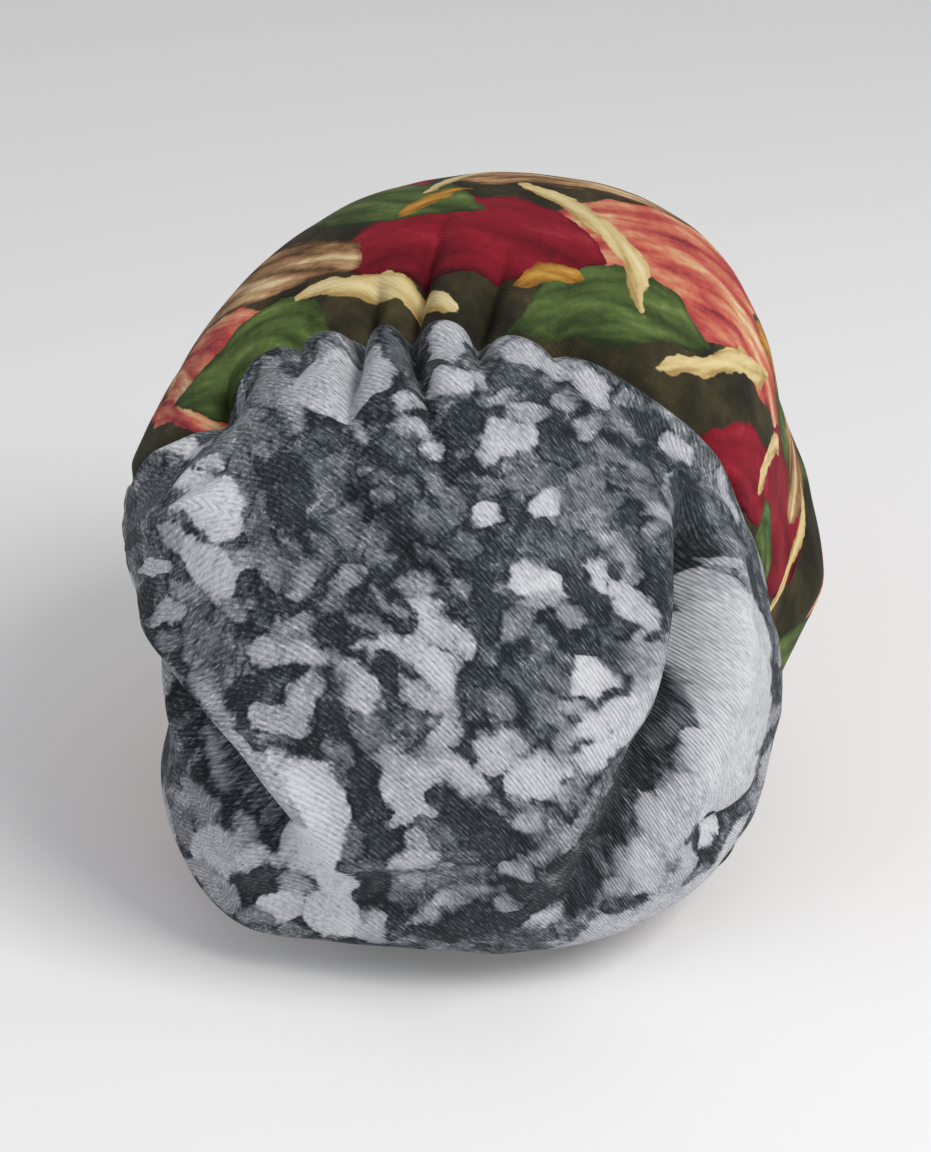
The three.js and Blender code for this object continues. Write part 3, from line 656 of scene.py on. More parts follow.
# Dark marks seen from behind: dye that the bleach missed, and painted shade where they lie in the right-hand
# fold's valley and along the bag's left edge.
DARK_DYE_AND_SHADE_SEEN = ("x y length width turn tone", [
    (472, 823, 46, 24, 35, 0.08), (455, 800, 28, 20, 20, 0.08), (498, 840, 30, 20, 40, 0.1),
    (472, 926, 60, 14, -8, 0.06), (430, 932, 26, 9, -10, 0.1), (384, 800, 16, 40, 90, 0.12),
    (384, 840, 18, 30, 80, 0.1), (372, 880, 18, 14, 20, 0.12), (355, 742, 30, 11, 30, 0.14),
    (384, 672, 20, 17, 20, 0.12), (507, 686, 48, 16, 33, 0.14), (470, 660, 30, 10, 35, 0.16),
    (545, 712, 18, 9, 30, 0.16), (389, 362, 44, 11, 84, 0.1), (395, 470, 60, 7, 48, 0.1),
    (400, 515, 56, 10, 45, 0.06), (424, 560, 34, 9, 45, 0.06), (365, 505, 30, 7, 60, 0.1),
    (440, 455, 14, 22, 50, 0.16), (468, 420, 22, 16, 40, 0.14), (478, 400, 26, 8, 10, 0.14),
    (541, 405, 40, 10, 75, 0.12), (560, 440, 20, 12, 60, 0.18), (621, 378, 44, 8, 40, 0.12),
    (650, 430, 34, 11, 50, 0.16), (613, 450, 24, 8, 60, 0.2), (491, 608, 36, 15, 85, 0.12),
    (576, 590, 44, 9, 63, 0.14), (590, 600, 20, 9, 60, 0.14), (496, 545, 36, 6, 20, 0.12),
    (520, 520, 20, 5, -60, 0.16), (470, 510, 20, 6, 70, 0.12), (288, 482, 30, 16, 60, 0.16),
    (284, 512, 34, 14, 40, 0.1), (262, 470, 18, 9, 70, 0.12), (310, 540, 20, 14, 60, 0.16),
    (255, 570, 16, 9, 50, 0.18), (300, 610, 30, 9, 40, 0.14), (322, 628, 28, 10, 45, 0.12),
    (345, 640, 18, 10, 60, 0.14), (350, 660, 14, 12, 60, 0.12), (270, 620, 30, 9, 40, 0.14),
    (240, 630, 24, 8, 30, 0.18), (300, 675, 52, 10, 12, 0.12), (252, 690, 14, 24, 60, 0.14),
    (250, 720, 14, 30, 70, 0.14), (262, 752, 20, 9, 40, 0.12), (330, 718, 30, 11, 30, 0.14),
    (330, 745, 30, 9, 20, 0.12), (366, 770, 20, 20, 60, 0.16), (368, 810, 16, 24, 80, 0.12),
    (180, 700, 30, 16, 60, 0.08), (165, 740, 20, 10, 60, 0.06), (196, 740, 30, 9, 52, 0.08),
    (214, 790, 34, 12, 48, 0.08), (232, 812, 24, 9, 60, 0.1), (240, 850, 30, 8, 20, 0.12),
    (190, 846, 12, 16, 70, 0.12), (228, 880, 40, 7, 20, 0.14), (260, 875, 22, 9, 30, 0.12),
    (250, 795, 34, 6, 55, 0.06), (290, 845, 44, 5, 50, 0.06), (335, 885, 16, 12, 60, 0.12),
    (375, 905, 26, 11, 0, 0.12), (300, 925, 6, 16, 80, 0.14), (112, 520, 9, 40, 88, 0.12),
    (120, 570, 10, 30, 80, 0.12), (130, 540, 10, 26, 88, 0.16), (146, 600, 12, 18, 70, 0.1),
    (150, 640, 16, 20, 70, 0.12), (175, 660, 22, 12, 40, 0.12), (196, 690, 12, 10, 60, 0.12),
    (128, 470, 14, 8, -50, 0.14), (655, 575, 26, 10, 80, 0.14), (640, 520, 30, 10, 60, 0.16),
    (630, 500, 24, 12, 50, 0.16), (525, 900, 24, 16, 50, 0.1), (540, 890, 18, 8, 40, 0.14),
    (560, 860, 20, 7, -50, 0.18), (530, 845, 12, 14, 60, 0.14), (600, 740, 24, 4, -35, 0.3),
    (590, 790, 20, 5, -50, 0.3), (555, 760, 14, 6, 40, 0.24), (630, 715, 10, 4, -40, 0.3),
    (598, 701, 24, 4, -20, 0.16), (575, 690, 12, 8, 30, 0.18), (520, 650, 22, 8, 20, 0.2),
    (560, 640, 16, 9, 60, 0.2),
])
UNBLEACHED = ("x y length width turn tone", [
    (-62, 228, 16, 7, -20, 0.14), (-2, 244, 16, 5, 5, 0.14), (66, 258, 14, 5, 0, 0.16),
    (110, 84, 12, 6, 70, 0.2), (-112, 176, 14, 8, 60, 0.14), (-134, 104, 14, 6, 70, 0.16),
    (134, 210, 12, 7, 40, 0.14), (-108, 238, 14, 6, 20, 0.14), (104, 244, 12, 6, 60, 0.16),
    (138, 110, 12, 5, 60, 0.16), (-146, 156, 14, 7, 60, 0.14), (84, 70, 20, 8, 85, 0.1),
    (84, 100, 18, 4.5, 92, 0.05), (77, 124, 16, 4, 104, 0.04), (69, 143, 14, 4, 118, 0.05),
    (61, 160, 14, 4.5, 118, 0.06), (54, 178, 14, 5.5, 122, 0.08), (46, 196, 13, 6, 128, 0.1),
    (91, 191, 16, 8, -12, 0.1), (104, 190, 7, 5, -30, 0.12),
])
# The printed cloth's motifs, in the order in which they lie on one another
PRINT_GROUNDS = ("x y length width turn bow blunt", [
    (70, 72, 58, 26, 34, -8, 4), (-100, 150, 62, 30, -38, 10, 4), (104, 186, 60, 28, -12, -6, 4),
    (-24, 236, 70, 24, 8, -8, 4), (-92, 30, 44, 16, -46, 5, 3),
])
PRINT_PETALS = ("x y length width turn bow blunt", [
    (0, 34, 46, 21, 4, 8, 2.4), (-48, 104, 44, 20, -52, -6, 2.4), (112, 24, 42, 18, 58, -8, 2.4),
    (140, 84, 42, 20, 96, 6, 2.4), (24, 124, 50, 25, 24, 8, 2.4), (-20, 158, 46, 23, 62, -6, 2.4),
    (72, 152, 44, 22, -25, 6, 2.4), (-128, 198, 46, 24, 110, 8, 2.4), (-90, 234, 48, 22, -12, -6, 2.4),
    (42, 228, 46, 22, 10, 6, 2.4), (138, 216, 44, 22, 84, 6, 2.4), (-134, 92, 38, 18, 78, 6, 2.4),
])
PRINT_LEAVES = ("x y length width turn bow blunt", [
    (52, 20, 34, 13, 30, 5, 2), (-30, 70, 36, 14, -24, -5, 2), (-126, 132, 38, 15, -82, 5, 2),
    (104, 108, 34, 14, 66, -4, 2), (-78, 186, 40, 16, 30, 6, 2), (6, 198, 38, 15, -24, -5, 2),
    (-40, 264, 34, 13, 12, 4, 2), (98, 252, 38, 15, -18, 5, 2), (-144, 250, 34, 14, -60, 4, 2),
    (-62, 8, 30, 12, -26, 4, 2), (150, 50, 30, 13, 80, 4, 2), (150, 166, 30, 13, -70, 4, 2),
])
PRINT_BARK = ("x y length width turn bow blunt", [
    (-66, 56, 44, 12, -40, -6, 5), (24, 84, 40, 12, 8, 5, 5), (-112, 66, 36, 10, -66, 5, 6),
    (92, 128, 46, 10, -28, 8, 6), (-60, 134, 48, 11, 24, 8, 6), (46, 186, 44, 10, 14, -7, 6),
    (-122, 160, 40, 9, -86, 6, 6), (128, 240, 36, 10, -40, -6, 6), (-58, 212, 42, 9, -14, 7, 6),
])
PRINT_TWIGS = ("x y length width turn bow blunt", [
    (-24, 12, 30, 4.5, -14, 6, 5), (86, 44, 34, 3.4, 62, -5, 5), (34, 50, 36, 3.6, -40, 7, 6),
    (-96, 92, 30, 2.8, -30, 4, 6), (-8, 98, 34, 3, 70, -4, 6), (124, 60, 28, 2.8, 100, 3, 6),
    (-142, 60, 26, 2.8, -84, 7, 6), (56, 110, 30, 2.8, -60, -6, 6), (138, 112, 26, 2.8, -40, 5, 6),
    (-26, 124, 34, 3, 70, -7, 6), (16, 164, 36, 3, -14, 8, 6), (-88, 206, 34, 3, -64, 7, 6),
    (74, 222, 34, 3, -52, -7, 6), (-20, 220, 30, 2.8, -74, 6, 6), (118, 190, 28, 2.8, 40, 5, 6),
    (-140, 172, 26, 2.8, -62, 5, 6), (-56, 252, 30, 2.8, 30, 5, 6), (20, 252, 28, 2.8, -34, 5, 6),
])
PRINT_GLINTS = ("x y length width turn bow blunt", [
    (30, 24, 12, 5, 20, 3, 3), (-84, 76, 14, 5, -50, 3, 3), (100, 84, 12, 5, 60, 3, 3),
    (-36, 186, 14, 6, -10, 3, 3), (84, 172, 12, 5, -60, 3, 3), (-120, 222, 14, 5, -30, 3, 3),
    (4, 140, 12, 5, -40, 3, 3), (-14, 60, 12, 4, 40, 2, 3),
])


def mark_places(table, x, y, warp):
    """For a table of marks: how far inside the nearest mark a place is, in millimetres, and the
    place along and across that mark. The edge is where half its width, which goes to nothing at
    its ends, equals the distance from its bowed middle line. Only the edge follows the warp."""
    inside = np.full(x.shape, -60.0)
    along, across, chosen = np.zeros(x.shape), np.zeros(x.shape), np.zeros(x.shape, int)
    for k, mark in enumerate(each(table)):
        c, s = math.cos(math.radians(mark["turn"])), math.sin(math.radians(mark["turn"]))
        u, v = (x - mark["x"]) * c + (y - mark["y"]) * s, (y - mark["y"]) * c - (x - mark["x"]) * s
        bow = mark.get("bow", 0)
        edge_u, edge_v = u + warp[0], v + warp[1]
        share = np.abs(edge_u) / mark["length"]
        off = np.abs(edge_v - bow * (1 - share**2))
        room = mark["width"] * (1 - np.minimum(share, 3) ** mark.get("blunt", 3)) - off
        nearer = room > inside
        inside = np.where(nearer, room, inside)
        along = np.where(nearer, u, along)
        across = np.where(nearer, (v - bow * (1 - (u / mark["length"]) ** 2)) / mark["width"], across)
        chosen = np.where(nearer, k, chosen)
    return inside, along, across, chosen


def edge_warp(x, y, seed, coarse, fine):
    """How far an edge strays from its place, in two directions and in millimetres."""
    return [
        coarse * lattice_noise(x / 11, y / 11, seed + k) + fine * lattice_noise(x / 4, y / 4, seed + k + 2)
        for k in (0, 1)]


def unsagged(across, down):
    """Places of the bag's cloth as it was before the seam sagged, in millimetres."""
    below = down + seam_sag(across) * (1 - fade(down / BACK_SAG_REACH))
    return np.stack([across * ACROSS_LENGTH, below * DOWN_LENGTH], -1)


def pictured(points):
    """Where points of the hat show in the picture, in its pixels, and how far away they are."""
    offset = points - CAMERA_TARGET - CAMERA_BACK * CAMERA_DISTANCE
    away = -(offset @ CAMERA_BACK)
    right = PICTURE_SIZE[0] / 2 + FOCAL_PIXELS * (offset @ CAMERA_RIGHT) / away
    below = PICTURE_SIZE[1] / 2 - FOCAL_PIXELS * (offset @ np.cross(CAMERA_BACK, CAMERA_RIGHT)) / away
    return np.stack([right, below, away], -1)


def cloth_at(cloth, shown, spot):
    """The cloth place that shows at a spot of the picture, and by how many pixels it misses it."""
    miss = np.hypot(shown[..., 0] - spot[0], shown[..., 1] - spot[1])
    near = miss < max(SIGHT_RADIUS, miss.min() + SIGHT_SLACK)
    nearest = np.argmin(np.where(near, shown[..., 2] + 10 * miss, np.inf))
    return cloth.reshape(-1, 2)[nearest], miss.flat[nearest]


def cloth_step(find, spot, way):
    """How far one goes on the cloth, and which way, for one pixel of the picture."""
    for reach in SIGHT_REACHES:
        ahead, miss_ahead = find(spot + reach * way)
        behind, miss_behind = find(spot - reach * way)
        step = (ahead - behind) / (2 * reach)
        trusted = TRUSTED_STEPS[0] < np.linalg.norm(step) < TRUSTED_STEPS[1]
        if trusted and max(miss_ahead, miss_behind) < SIGHT_MISS:
            break
    return step * min(1, LONGEST_STEP / max(np.linalg.norm(step), 1e-6))


def on_cloth(chart):
    """Marks charted on the picture, as marks of the cloth that shows there."""
    across, down = np.meshgrid(np.linspace(-1, 1, SIGHT_GRID), np.linspace(0, 1, SIGHT_GRID))
    find = partial(cloth_at, unsagged(across, down), pictured(panel_surface(bag_middle, across, down)))
    marks = []
    for mark in each(chart):
        spot = np.array([mark["x"], mark["y"]])
        c, s = math.cos(math.radians(mark["turn"])), math.sin(math.radians(mark["turn"]))
        along = cloth_step(find, spot, np.array([c, s]))
        beside = cloth_step(find, spot, np.array([-s, c]))
        length, width = mark["length"] * np.linalg.norm(along), mark["width"] * np.linalg.norm(beside)
        turn = math.degrees(math.atan2(along[1], along[0]))
        marks.append((*find(spot)[0], length, width, turn, mark["tone"]))
    return marks


bleached = (BLEACHED[0], on_cloth(BLEACHED_SEEN) + BLEACHED[1])
dark_dye_and_shade = (UNBLEACHED[0], on_cloth(DARK_DYE_AND_SHADE_SEEN) + UNBLEACHED[1])


def bag_marks(across, down):
    """Attributes of the grey cloth, whose marks lie on it as it was before the seam sagged: how far
    inside a bleached mark a place is and how light that is, and how far inside a dark one."""
    x, y = np.moveaxis(unsagged(across, down), -1, 0)
    warp = edge_warp(x, y, 21, 2.4, 1.6)
    light, _, _, chosen = mark_places(bleached, x, y, warp)
    # Each bleached mark's tone, which for the marks seen from behind partly holds painted light.
    lightness_and_painted_light = columns(bleached)["tone"][chosen]
    # Dark marks: dye, and painted shade in the right-hand fold's valley and along the bag's left edge.
    dark, _, _, chosen = mark_places(dark_dye_and_shade, x, y, warp)
    return {
        "marks": np.stack([np.maximum(light, -9), lightness_and_painted_light, np.maximum(dark, -9)], -1),
        "drift": 0.5 + 0.5 * lattice_noise(x / 26, y / 26, 25),
    }


BAND_PRINT_START = 130  # where the band's strip is cut from the printed cloth, in millimetres
PRINT_LAYERS = {
    "blush": PRINT_GROUNDS, "petal": PRINT_PETALS, "leaf": PRINT_LEAVES,
    "bark": PRINT_BARK, "twig": PRINT_TWIGS, "glint": PRINT_GLINTS,
}


def print_marks(x, y):
    """Attributes of the printed cloth: for each motif, how far inside it a place is, in
    millimetres, and the place along and across it."""
    warp = edge_warp(x, y, 31, 2.2, 0.8)
    layers = {}
    for label, table in PRINT_LAYERS.items():
        inside, along, across, _ = mark_places(table, x, y, warp)
        layers[label] = np.stack([np.clip(inside, -6, 30), along, across], -1)
    return layers


def front_marks(across, down):
    """Attributes of the printed front panel."""
    return print_marks(across * ACROSS_LENGTH, down * DOWN_LENGTH)


# Materials
def linear(colour):
    """Linear red, green and blue of an sRGB hex colour."""
    parts = [int(colour[i:i + 2], 16) / 255 for i in (1, 3, 5)]
    return tuple(c / 12.92 if c <= 0.04045 else ((c + 0.055) / 1.055) ** 2.4 for c in parts) + (1.0,)


def feed(tree, node, inputs):
    """Gives a node's inputs their values, or links them to other nodes' outputs."""
    for key, value in inputs.items() if isinstance(inputs, dict) else enumerate(inputs):
        if isinstance(value, bpy.types.NodeSocket):
            tree.links.new(value, node.inputs[key])
        else:
            node.inputs[key].default_value = value


def add(tree, kind, inputs=(), out=0, stops=(), **settings):
    """Adds a node with its settings, inputs and ramp stops, and gives one of its outputs."""
    made = tree.nodes.new("ShaderNode" + kind)
    for name, value in settings.items():
        setattr(made, name, value)
    feed(tree, made, inputs)
    for i, (place, colour) in enumerate(stops):
        if i > 1:
            made.color_ramp.elements.new(place)
        made.color_ramp.elements[i].position = place
        made.color_ramp.elements[i].color = linear(colour)
    return made.outputs[out]


def new_material(name, values):
    """A material whose shader has the given values."""
    material = bpy.data.materials.new(name)
    material.use_nodes = True
    tree = material.node_tree
    shader = tree.nodes["Principled BSDF"]
    feed(tree, shader, values)
    return material, tree, shader


# Jersey is matt: its fibres scatter light, and their ends give a faint sheen at the edges.
JERSEY = {"IOR": 1.5, "Specular IOR Level": 0.12, "Sheen Weight": 0.03, "Sheen Roughness": 0.5}

# The grey jersey has a twilled face: diagonal ribs 1.3 mm apart catch the light, and short light
# flecks of yarn that the dye didn't reach run along them. Sizes are in metres.
RIB_PITCH = 0.0013
RIB_TURN = math.radians(-40)
FLECK_LENGTH = 0.0022
FLECK_WIDTH = 0.00055
SPECK_SIZE = 0.0011
EDGE_SIZE = 0.003
CLOUD_SIZE = 0.008
VEIN_SIZE = 0.011
FACET_SIZE = 0.013
SOFT_SIZE = 0.016

MARBLE_STOPS = [
    (0.0, "#24292d"), (0.16, "#3a4045"), (0.36, "#5f656a"), (0.54, "#84888d"),
    (0.74, "#adb0b6"), (0.9, "#c6c8ce"), (1.0, "#d6d8dd"),
]


def rib_nodes(node, pitch, turn):
    """Place on the cloth, the same turned along the ribs, and the ribs' height across them: a sine
    of the place across, which wanders a little."""
    place = node("Attribute", out="Vector", attribute_name="cloth")
    turned = node("Mapping", {"Vector": place, "Rotation": (0, 0, turn)}, vector_type="POINT")
    across = node("SeparateXYZ", (turned,), out=1)
    slow = node("TexNoise", {"Vector": place, "Scale": 1 / 0.012, "Detail": 1.0}, out="Fac")
    wander = node("Math", (slow, 2.5), operation="MULTIPLY")
    phase = node("Math", (across, 2 * math.pi / pitch, wander), operation="MULTIPLY_ADD")
    return place, turned, node("Math", (phase,), operation="SINE")


def marbled_knit(name, low, high):
    """Grey cotton jersey, garment-dyed and then unevenly bleached, with a twilled face.

    Tone = clouds, facets with darker borders, dark veins and light wisps, mixed to charcoal in the
    dark marks, which are dye that the bleach missed and, in the right-hand fold's valley and along
    the bag's left edge, painted shade, and to each bleached mark's tone inside its edge, which is
    darker just outside; the tones of the marks seen from behind also hold painted light, lighter
    toward the key light. Painted rib shading follows the ribs' sine, flecks along the ribs lighten
    it, and a ramp turns the tone into grey. Height = ribs and flecks."""
    material, tree, shader = new_material(name, {**JERSEY, "Roughness": 0.88})
    node = partial(add, tree)
    place, turned, ribs = rib_nodes(node, RIB_PITCH, RIB_TURN)
    marks = node("Attribute", out="Vector", attribute_name="marks")
    light, lightness_and_painted_light, dark = node("SeparateXYZ", (marks,), out=slice(0, 3))
    drift = node("Attribute", out="Fac", attribute_name="drift")

    strays = node("TexNoise", {"Vector": place, "Scale": 140.0, "Detail": 3.0}, out="Color")
    astray = node("VectorMath", (strays, (0.009, 0.009, 0), place), operation="MULTIPLY_ADD")
    facets = node("TexVoronoi", {"Vector": astray, "Scale": 1 / FACET_SIZE}, out="Color")
    facet = node("MapRange", (node("SeparateXYZ", (facets,)), 0.0, 1.0, -0.12, 0.14))
    from_border = node(
        "TexVoronoi", {"Vector": astray, "Scale": 1 / FACET_SIZE}, out="Distance",
        feature="DISTANCE_TO_EDGE")
    border = node("MapRange", (from_border, 0.0, 0.1, 0.13, 0.0), interpolation_type="SMOOTHSTEP")
    clouded = node(
        "TexNoise", {"Vector": place, "Scale": 1 / CLOUD_SIZE, "Detail": 5.0, "Roughness": 0.66}, out="Fac")
    clouds = node("MapRange", (clouded, 0.3, 0.7, -0.2, 0.2))
    drifted = node("Math", (clouds, node("MapRange", (drift, 0.0, 1.0, 0.26, 0.44))), operation="ADD")
    faceted = node("Math", (node("Math", (drifted, facet), operation="ADD"), border), operation="SUBTRACT")
    veins = node(
        "TexNoise", {"Vector": astray, "Scale": 1 / VEIN_SIZE, "Detail": 2.0, "Roughness": 0.55}, out="Fac")
    tone = faceted
    for level, width, change in ((0.44, 0.03, -0.14), (0.57, 0.02, 0.2)):
        off = node("Math", (node("Math", (veins, level), operation="SUBTRACT"),), operation="ABSOLUTE")
        drawn = node("MapRange", (off, 0.0, width, change, 0.0), interpolation_type="SMOOTHSTEP")
        tone = node("Math", (tone, drawn), operation="ADD")

    rough_edge = node(
        "TexNoise", {"Vector": place, "Scale": 1 / EDGE_SIZE, "Detail": 3.0, "Roughness": 0.6}, out="Fac")
    ragged = node("MapRange", (rough_edge, 0.25, 0.75, -1.5, 1.5))
    # Charcoal in the dark marks: dye, and painted shade where they lie in the right-hand fold's valley and
    # along the bag's left edge.
    dark_edge = node("Math", (dark, ragged), operation="ADD")
    in_dark = node("MapRange", (dark_edge, -1.4, 1.0, 0.0, 0.92), interpolation_type="SMOOTHSTEP")
    charcoal = node("Math", (clouds, 0.4, 0.1), operation="MULTIPLY_ADD")
    tone = node("Mix", {0: in_dark, 2: tone, 3: charcoal})

    soft_places = node("TexNoise", {"Vector": place, "Scale": 1 / SOFT_SIZE, "Detail": 1.0}, out="Fac")
    softness = node("MapRange", (soft_places, 0.3, 0.7, 0.3, 1.4))
    light_edge = node(
        "Math", (node("Math", (light, ragged), operation="ADD"), softness), operation="MULTIPLY")
    off_ring = node("Math", (node("Math", (light_edge, 1.3), operation="ADD"),), operation="ABSOLUTE")
    ring = node("MapRange", (off_ring, 0.0, 1.4, 0.11, 0.0), interpolation_type="SMOOTHSTEP")
    outlined = node("Math", (tone, ring), operation="SUBTRACT")
    # Bleached marks' tone, partly painted light where they were seen from behind.
    bleached = node("Math", (clouds, 0.5, lightness_and_painted_light), operation="MULTIPLY_ADD")
    rim = node("MapRange", (light_edge, 0.0, 3.5, 0.1, 0.0), interpolation_type="SMOOTHSTEP")
    in_light = node("MapRange", (light_edge, -0.9, 1.1), interpolation_type="SMOOTHSTEP")
    shaded = node("Math", (bleached, rim), operation="SUBTRACT")
    tone = node("Mix", {0: in_light, 2: outlined, 3: shaded})

    fleck_scale = (1 / FLECK_LENGTH, 1 / FLECK_WIDTH, 1.0)
    along_ribs = node("VectorMath", (turned, fleck_scale), operation="MULTIPLY")
    flecks = node("TexNoise", {"Vector": along_ribs, "Scale": 1.0, "Detail": 1.0}, out="Fac")
    specks = node("TexNoise", {"Vector": place, "Scale": 1 / SPECK_SIZE, "Detail": 2.0}, out="Fac")
    # Painted rib shading: the ribs' sine lightens and darkens the tone a little.
    tone = node("Math", (ribs, 0.05, tone), operation="MULTIPLY_ADD")
    for value, from_low, from_high, to_low, to_high in (
            (flecks, 0.58, 0.7, 0.0, 0.26), (flecks, 0.3, 0.43, -0.2, 0.0), (specks, 0.3, 0.7, -0.07, 0.07)):
        change = node("MapRange", (value, from_low, from_high, to_low, to_high))
        tone = node("Math", (tone, change), operation="ADD")
    colour = node("ValToRGB", (node("MapRange", (tone, 0.0, 1.0, low, high)),), stops=MARBLE_STOPS)
    height = node(
        "Math", (flecks, 0.9, node("Math", (ribs, 0.8), operation="MULTIPLY")), operation="MULTIPLY_ADD")
    raised = node("Bump", {"Strength": 0.5, "Distance": 0.0002, "Height": height})
    feed(tree, shader, {"Base Color": colour, "Normal": raised})
    return material


# The print's colours, dark to light, for each motif
PRINT_STOPS = {
    "ground": [(0.0, "#1b1b15"), (0.45, "#322f22"), (0.75, "#453e2b"), (1.0, "#5b5038")],
    "blush": [(0.0, "#84303a"), (0.3, "#b5504a"), (0.55, "#c9755d"), (0.8, "#d3a27c"), (1.0, "#e0cda2")],
    "petal": [(0.0, "#430b15"), (0.3, "#6f1522"), (0.65, "#8f1f2e"), (0.88, "#a43440"), (1.0, "#c4706f")],
    "leaf": [(0.0, "#28331f"), (0.35, "#41512c"), (0.7, "#5c703c"), (1.0, "#86945d")],
    "bark": [(0.0, "#4a3526"), (0.25, "#7b5b3d"), (0.5, "#a17c58"), (0.75, "#bf9d74"), (1.0, "#dccaa0")],
    "twig": [(0.0, "#a98d58"), (0.3, "#cdb680"), (0.7, "#ddcd9d"), (1.0, "#e8dcb6")],
    "glint": [(0.0, "#8a5c24"), (0.5, "#b88738"), (1.0, "#d4ae60")],
}
# How the brush went in each motif: its strokes for one half width, their length in millimetres, how
# much of the colour comes from the strokes and not from the place across, and how far the colour
# darkens at the motif's edge
BRUSH = {
    "blush": (4.0, 26, 0.95, 0.2), "petal": (2.2, 34, 0.5, 0.3), "leaf": (2.6, 22, 0.65, 0.3),
    "bark": (2.6, 26, 1.0, 0.35), "twig": (1.4, 18, 0.7, 0.3), "glint": (1.8, 9, 0.7, 0.3),
}
PRINT_RIB_PITCH = 0.0011
PRINT_RIB_TURN = math.radians(35)
PRINT_CLOUD_SIZE = 0.02
BRISTLE_SIZE = 0.0024


def printed_knit(name, paleness):
    """Cotton jersey with a painted-looking print, whose colours are soaked into a matt face.

    Colour = clouded olive ground, then each motif over it where its ragged edge is passed: a ramp
    of its own colours read by long brush strokes, by the place across it and by how near its edge
    is. Fine ribs shade it. On the reverse the colours are pale. Height = ribs."""
    material, tree, shader = new_material(name, {**JERSEY, "Roughness": 0.85})
    node = partial(add, tree)
    place, _, ribs = rib_nodes(node, PRINT_RIB_PITCH, PRINT_RIB_TURN)
    rough_edge = node("TexNoise", {"Vector": place, "Scale": 1 / EDGE_SIZE, "Detail": 2.0}, out="Fac")
    ragged = node("MapRange", (rough_edge, 0.25, 0.75, -0.6, 0.6))
    clouded = node(
        "TexNoise", {"Vector": place, "Scale": 1 / PRINT_CLOUD_SIZE, "Detail": 4.0, "Roughness": 0.6},
        out="Fac")
    fine = node("TexNoise", {"Vector": place, "Scale": 1 / BRISTLE_SIZE, "Detail": 2.0}, out="Fac")
    bristles = node("MapRange", (fine, 0.3, 0.7, -0.07, 0.07))
    below = node("ValToRGB", (node("MapRange", (clouded, 0.3, 0.7)),), stops=PRINT_STOPS["ground"])
    for label in PRINT_LAYERS:
        strokes_across, stroke_length, streaky, edge_dark = BRUSH[label]
        place_in = node("Attribute", out="Vector", attribute_name=label)
        inside, _, across = node("SeparateXYZ", (place_in,), out=slice(0, 3))
        stroke_scale = (0.0, 1 / stroke_length, strokes_across)
        stroke_place = node("VectorMath", (place_in, stroke_scale), operation="MULTIPLY")
        strokes = node(
            "TexNoise", {"Vector": stroke_place, "Scale": 1.0, "Detail": 3.0, "Roughness": 0.5}, out="Fac")
        streaks = node("MapRange", (strokes, 0.3, 0.7, 0.0, streaky))
        rounded = node("Math", (across, 0.5 - 0.5 * streaky, 0.5 - 0.5 * streaky), operation="MULTIPLY_ADD")
        edge = node("MapRange", (inside, 0.0, 3.0, -edge_dark, 0.0), interpolation_type="SMOOTHSTEP")
        shade = bristles
        for part in (streaks, rounded, edge):
            shade = node("Math", (shade, part), operation="ADD")
        colour = node("ValToRGB", (shade,), stops=PRINT_STOPS[label])
        strayed = node("Math", (inside, ragged), operation="ADD")
        covered = node("MapRange", (strayed, -0.3, 0.3), interpolation_type="SMOOTHSTEP")
        below = node("Mix", {0: covered, 6: below, 7: colour}, out=2, data_type="RGBA")
    faded = node("Mix", {0: paleness, 6: below, 7: linear("#c6bfb0")}, out=2, data_type="RGBA")
    shading = node("MapRange", (ribs, -1.0, 1.0, 0.93, 1.0))
    ribbed = node("Mix", {0: 1.0, 6: faded, 7: shading}, out=2, data_type="RGBA", blend_type="MULTIPLY")
    raised = node("Bump", {"Strength": 0.25, "Distance": 0.00012, "Height": ribs})
    feed(tree, shader, {"Base Color": ribbed, "Normal": raised})
    return material


marble_face = marbled_knit("bleached grey cotton jersey", 0.0, 1.0)
marble_back = marbled_knit("reverse of the grey jersey", 0.42, 0.72)
print_face = printed_knit("printed cotton jersey", 0.0)
print_back = printed_knit("reverse of the printed jersey", 0.72)

back_bag = cloth_panel("bag_cloth", bag_middle, (214, 228), bag_marks, [marble_face, marble_back])
front_panel = cloth_panel("front_cloth", front_middle, (200, 230), front_marks, [print_face, print_back])


def band_outline(turn, inset):
    """The band's outline, a squared ellipse in two halves that are widest at the ear line."""
    c, s = np.cos(turn), np.sin(turn)
    radius = (np.abs(c) ** FOOT_SQUARE + np.abs(s) ** FOOT_SQUARE) ** (-1 / FOOT_SQUARE)
    reach = np.where(s > 0, FRONT_REACH, NAPE_REACH)
    return c * radius * (OPENING_HALF_WIDTH - inset), s * radius * (reach - inset)


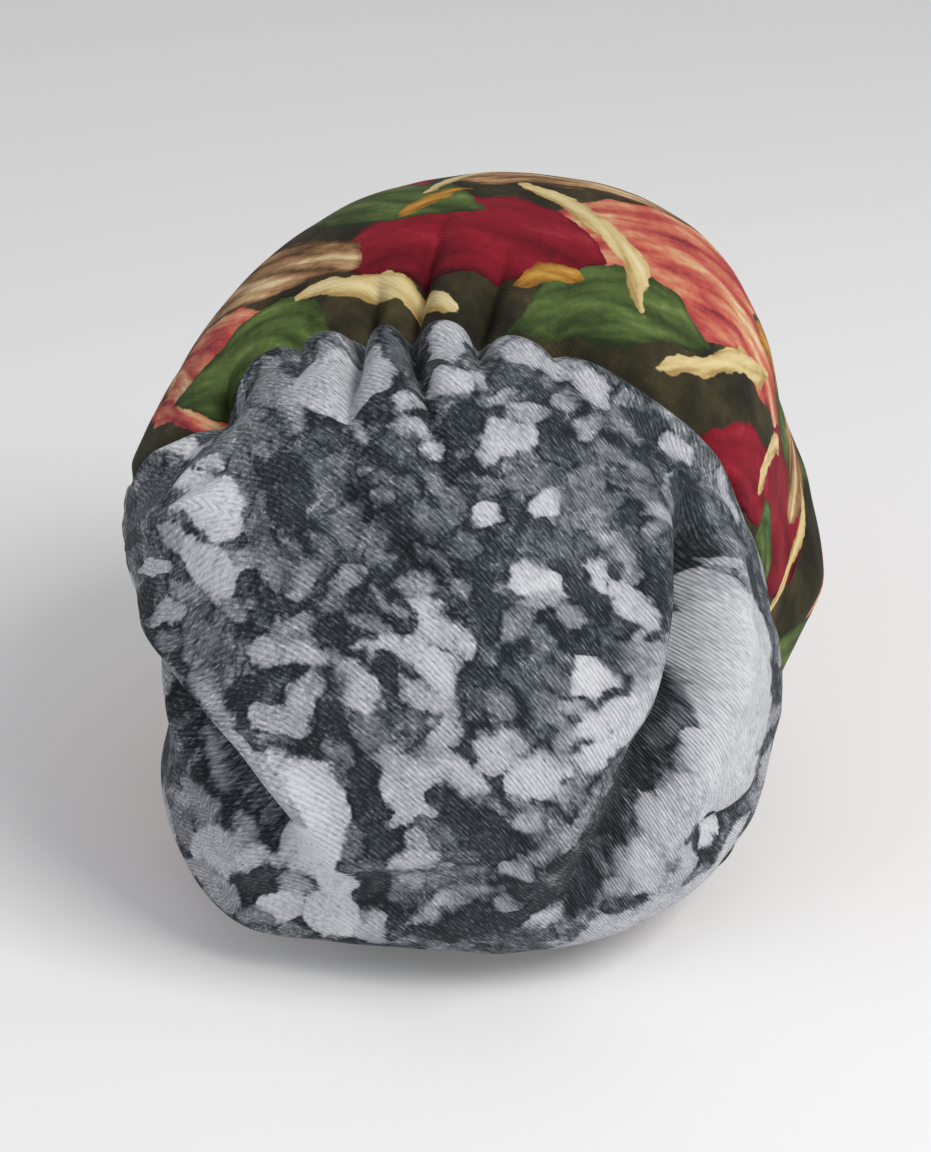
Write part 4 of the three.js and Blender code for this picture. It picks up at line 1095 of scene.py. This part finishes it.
def rim_band(steps, section_steps):
    """The doubled band: a flat tube of cloth, its fold at the bottom, carried round the outline."""
    turn, around = np.meshgrid(
        np.linspace(0, 2 * np.pi, steps, endpoint=False),
        np.linspace(0, 2 * np.pi, section_steps, endpoint=False), indexing="ij")
    c, s = np.cos(around), np.sin(around)
    radius = (np.abs(c) ** 6 + np.abs(s) ** 6) ** (-1 / 6)
    depth = BAND_THICKNESS / 2 * (1 - c * radius)
    z = BAND_HEIGHT / 2 * (1 + s * radius)
    x, y = band_outline(turn, depth + BAND_LEAN * (1 - z / BAND_HEIGHT))
    grid = np.stack([x, y, z], -1)
    index = np.arange(steps * section_steps).reshape(steps, section_steps)
    after = np.roll(index, -1, axis=0)
    quads = np.stack([
        index, after, np.roll(after, -1, axis=1), np.roll(index, -1, axis=1)], -1).reshape(-1, 4)
    girth = OPENING_HALF_WIDTH + FRONT_REACH / 2 + NAPE_REACH / 2
    length = turn / (2 * np.pi) * 2 * ACROSS_LENGTH - ACROSS_LENGTH
    marks = print_marks(length, BAND_PRINT_START + z)
    marks["cloth"] = np.stack([turn * girth * MM, z * MM, 0 * z], -1)
    marks = {label: values.reshape(-1, 3) for label, values in marks.items()}
    return grid_mesh("band_cloth", grid.reshape(-1, 3), [quads], marks, [print_face])


band = rim_band(360, 48)
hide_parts("back_bag")
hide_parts("front_panel")
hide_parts("rim_band")

# Floor, light and camera, in metres
FLOOR_REACH = 4
floor_mesh = bpy.data.meshes.new("floor")
floor_corners = [(FLOOR_REACH * x, FLOOR_REACH * y, 0) for x, y in ((-1, -1), (1, -1), (1, 1), (-1, 1))]
floor_mesh.from_pydata(floor_corners, [], [(0, 1, 2, 3)])
floor_paint, _, _ = new_material("matt white paper", {
    "Base Color": linear("#f3f3f4"), "Roughness": 0.8,
    "Emission Color": linear("#ffffff"), "Emission Strength": 0.1,
})
floor_mesh.materials.append(floor_paint)
floor = bpy.data.objects.new("floor", floor_mesh)
bpy.context.scene.collection.objects.link(floor)


def area_light(name, place, target, size, power, colour):
    light = bpy.data.lights.new(name, "AREA")
    light.size = size
    light.energy = power
    light.color = colour
    lamp = bpy.data.objects.new(name, light)
    lamp.location = place
    lamp.rotation_euler = (Vector(target) - Vector(place)).to_track_quat("-Z", "Y").to_euler()
    bpy.context.scene.collection.objects.link(lamp)


area_light("key light", (0.9, -0.6, 1.2), (0, 0, 0.08), 0.7, 16, (1, 0.98, 0.95))
area_light("fill light", (-1.2, -0.9, 0.9), (0, 0, 0.08), 1.2, 3, (0.96, 0.98, 1))
world = bpy.data.worlds.new("studio")
world.use_nodes = True
world.node_tree.nodes["Background"].inputs["Color"].default_value = (0.9, 0.9, 0.92, 1)
world.node_tree.nodes["Background"].inputs["Strength"].default_value = 0.42
bpy.context.scene.world = world
bpy.context.scene.view_settings.view_transform = "Standard"

camera_data = bpy.data.cameras.new("camera")
camera_data.sensor_width = 36
camera_data.lens = 36 * FOCAL_PIXELS / max(PICTURE_SIZE)
camera = bpy.data.objects.new("camera", camera_data)
camera.location = Vector(ORIGIN) + Vector((CAMERA_TARGET + CAMERA_BACK * CAMERA_DISTANCE) * MM)
camera.rotation_euler = Vector(CAMERA_BACK).to_track_quat("Z", "Y").to_euler()
bpy.context.scene.collection.objects.link(camera)
bpy.context.scene.camera = camera
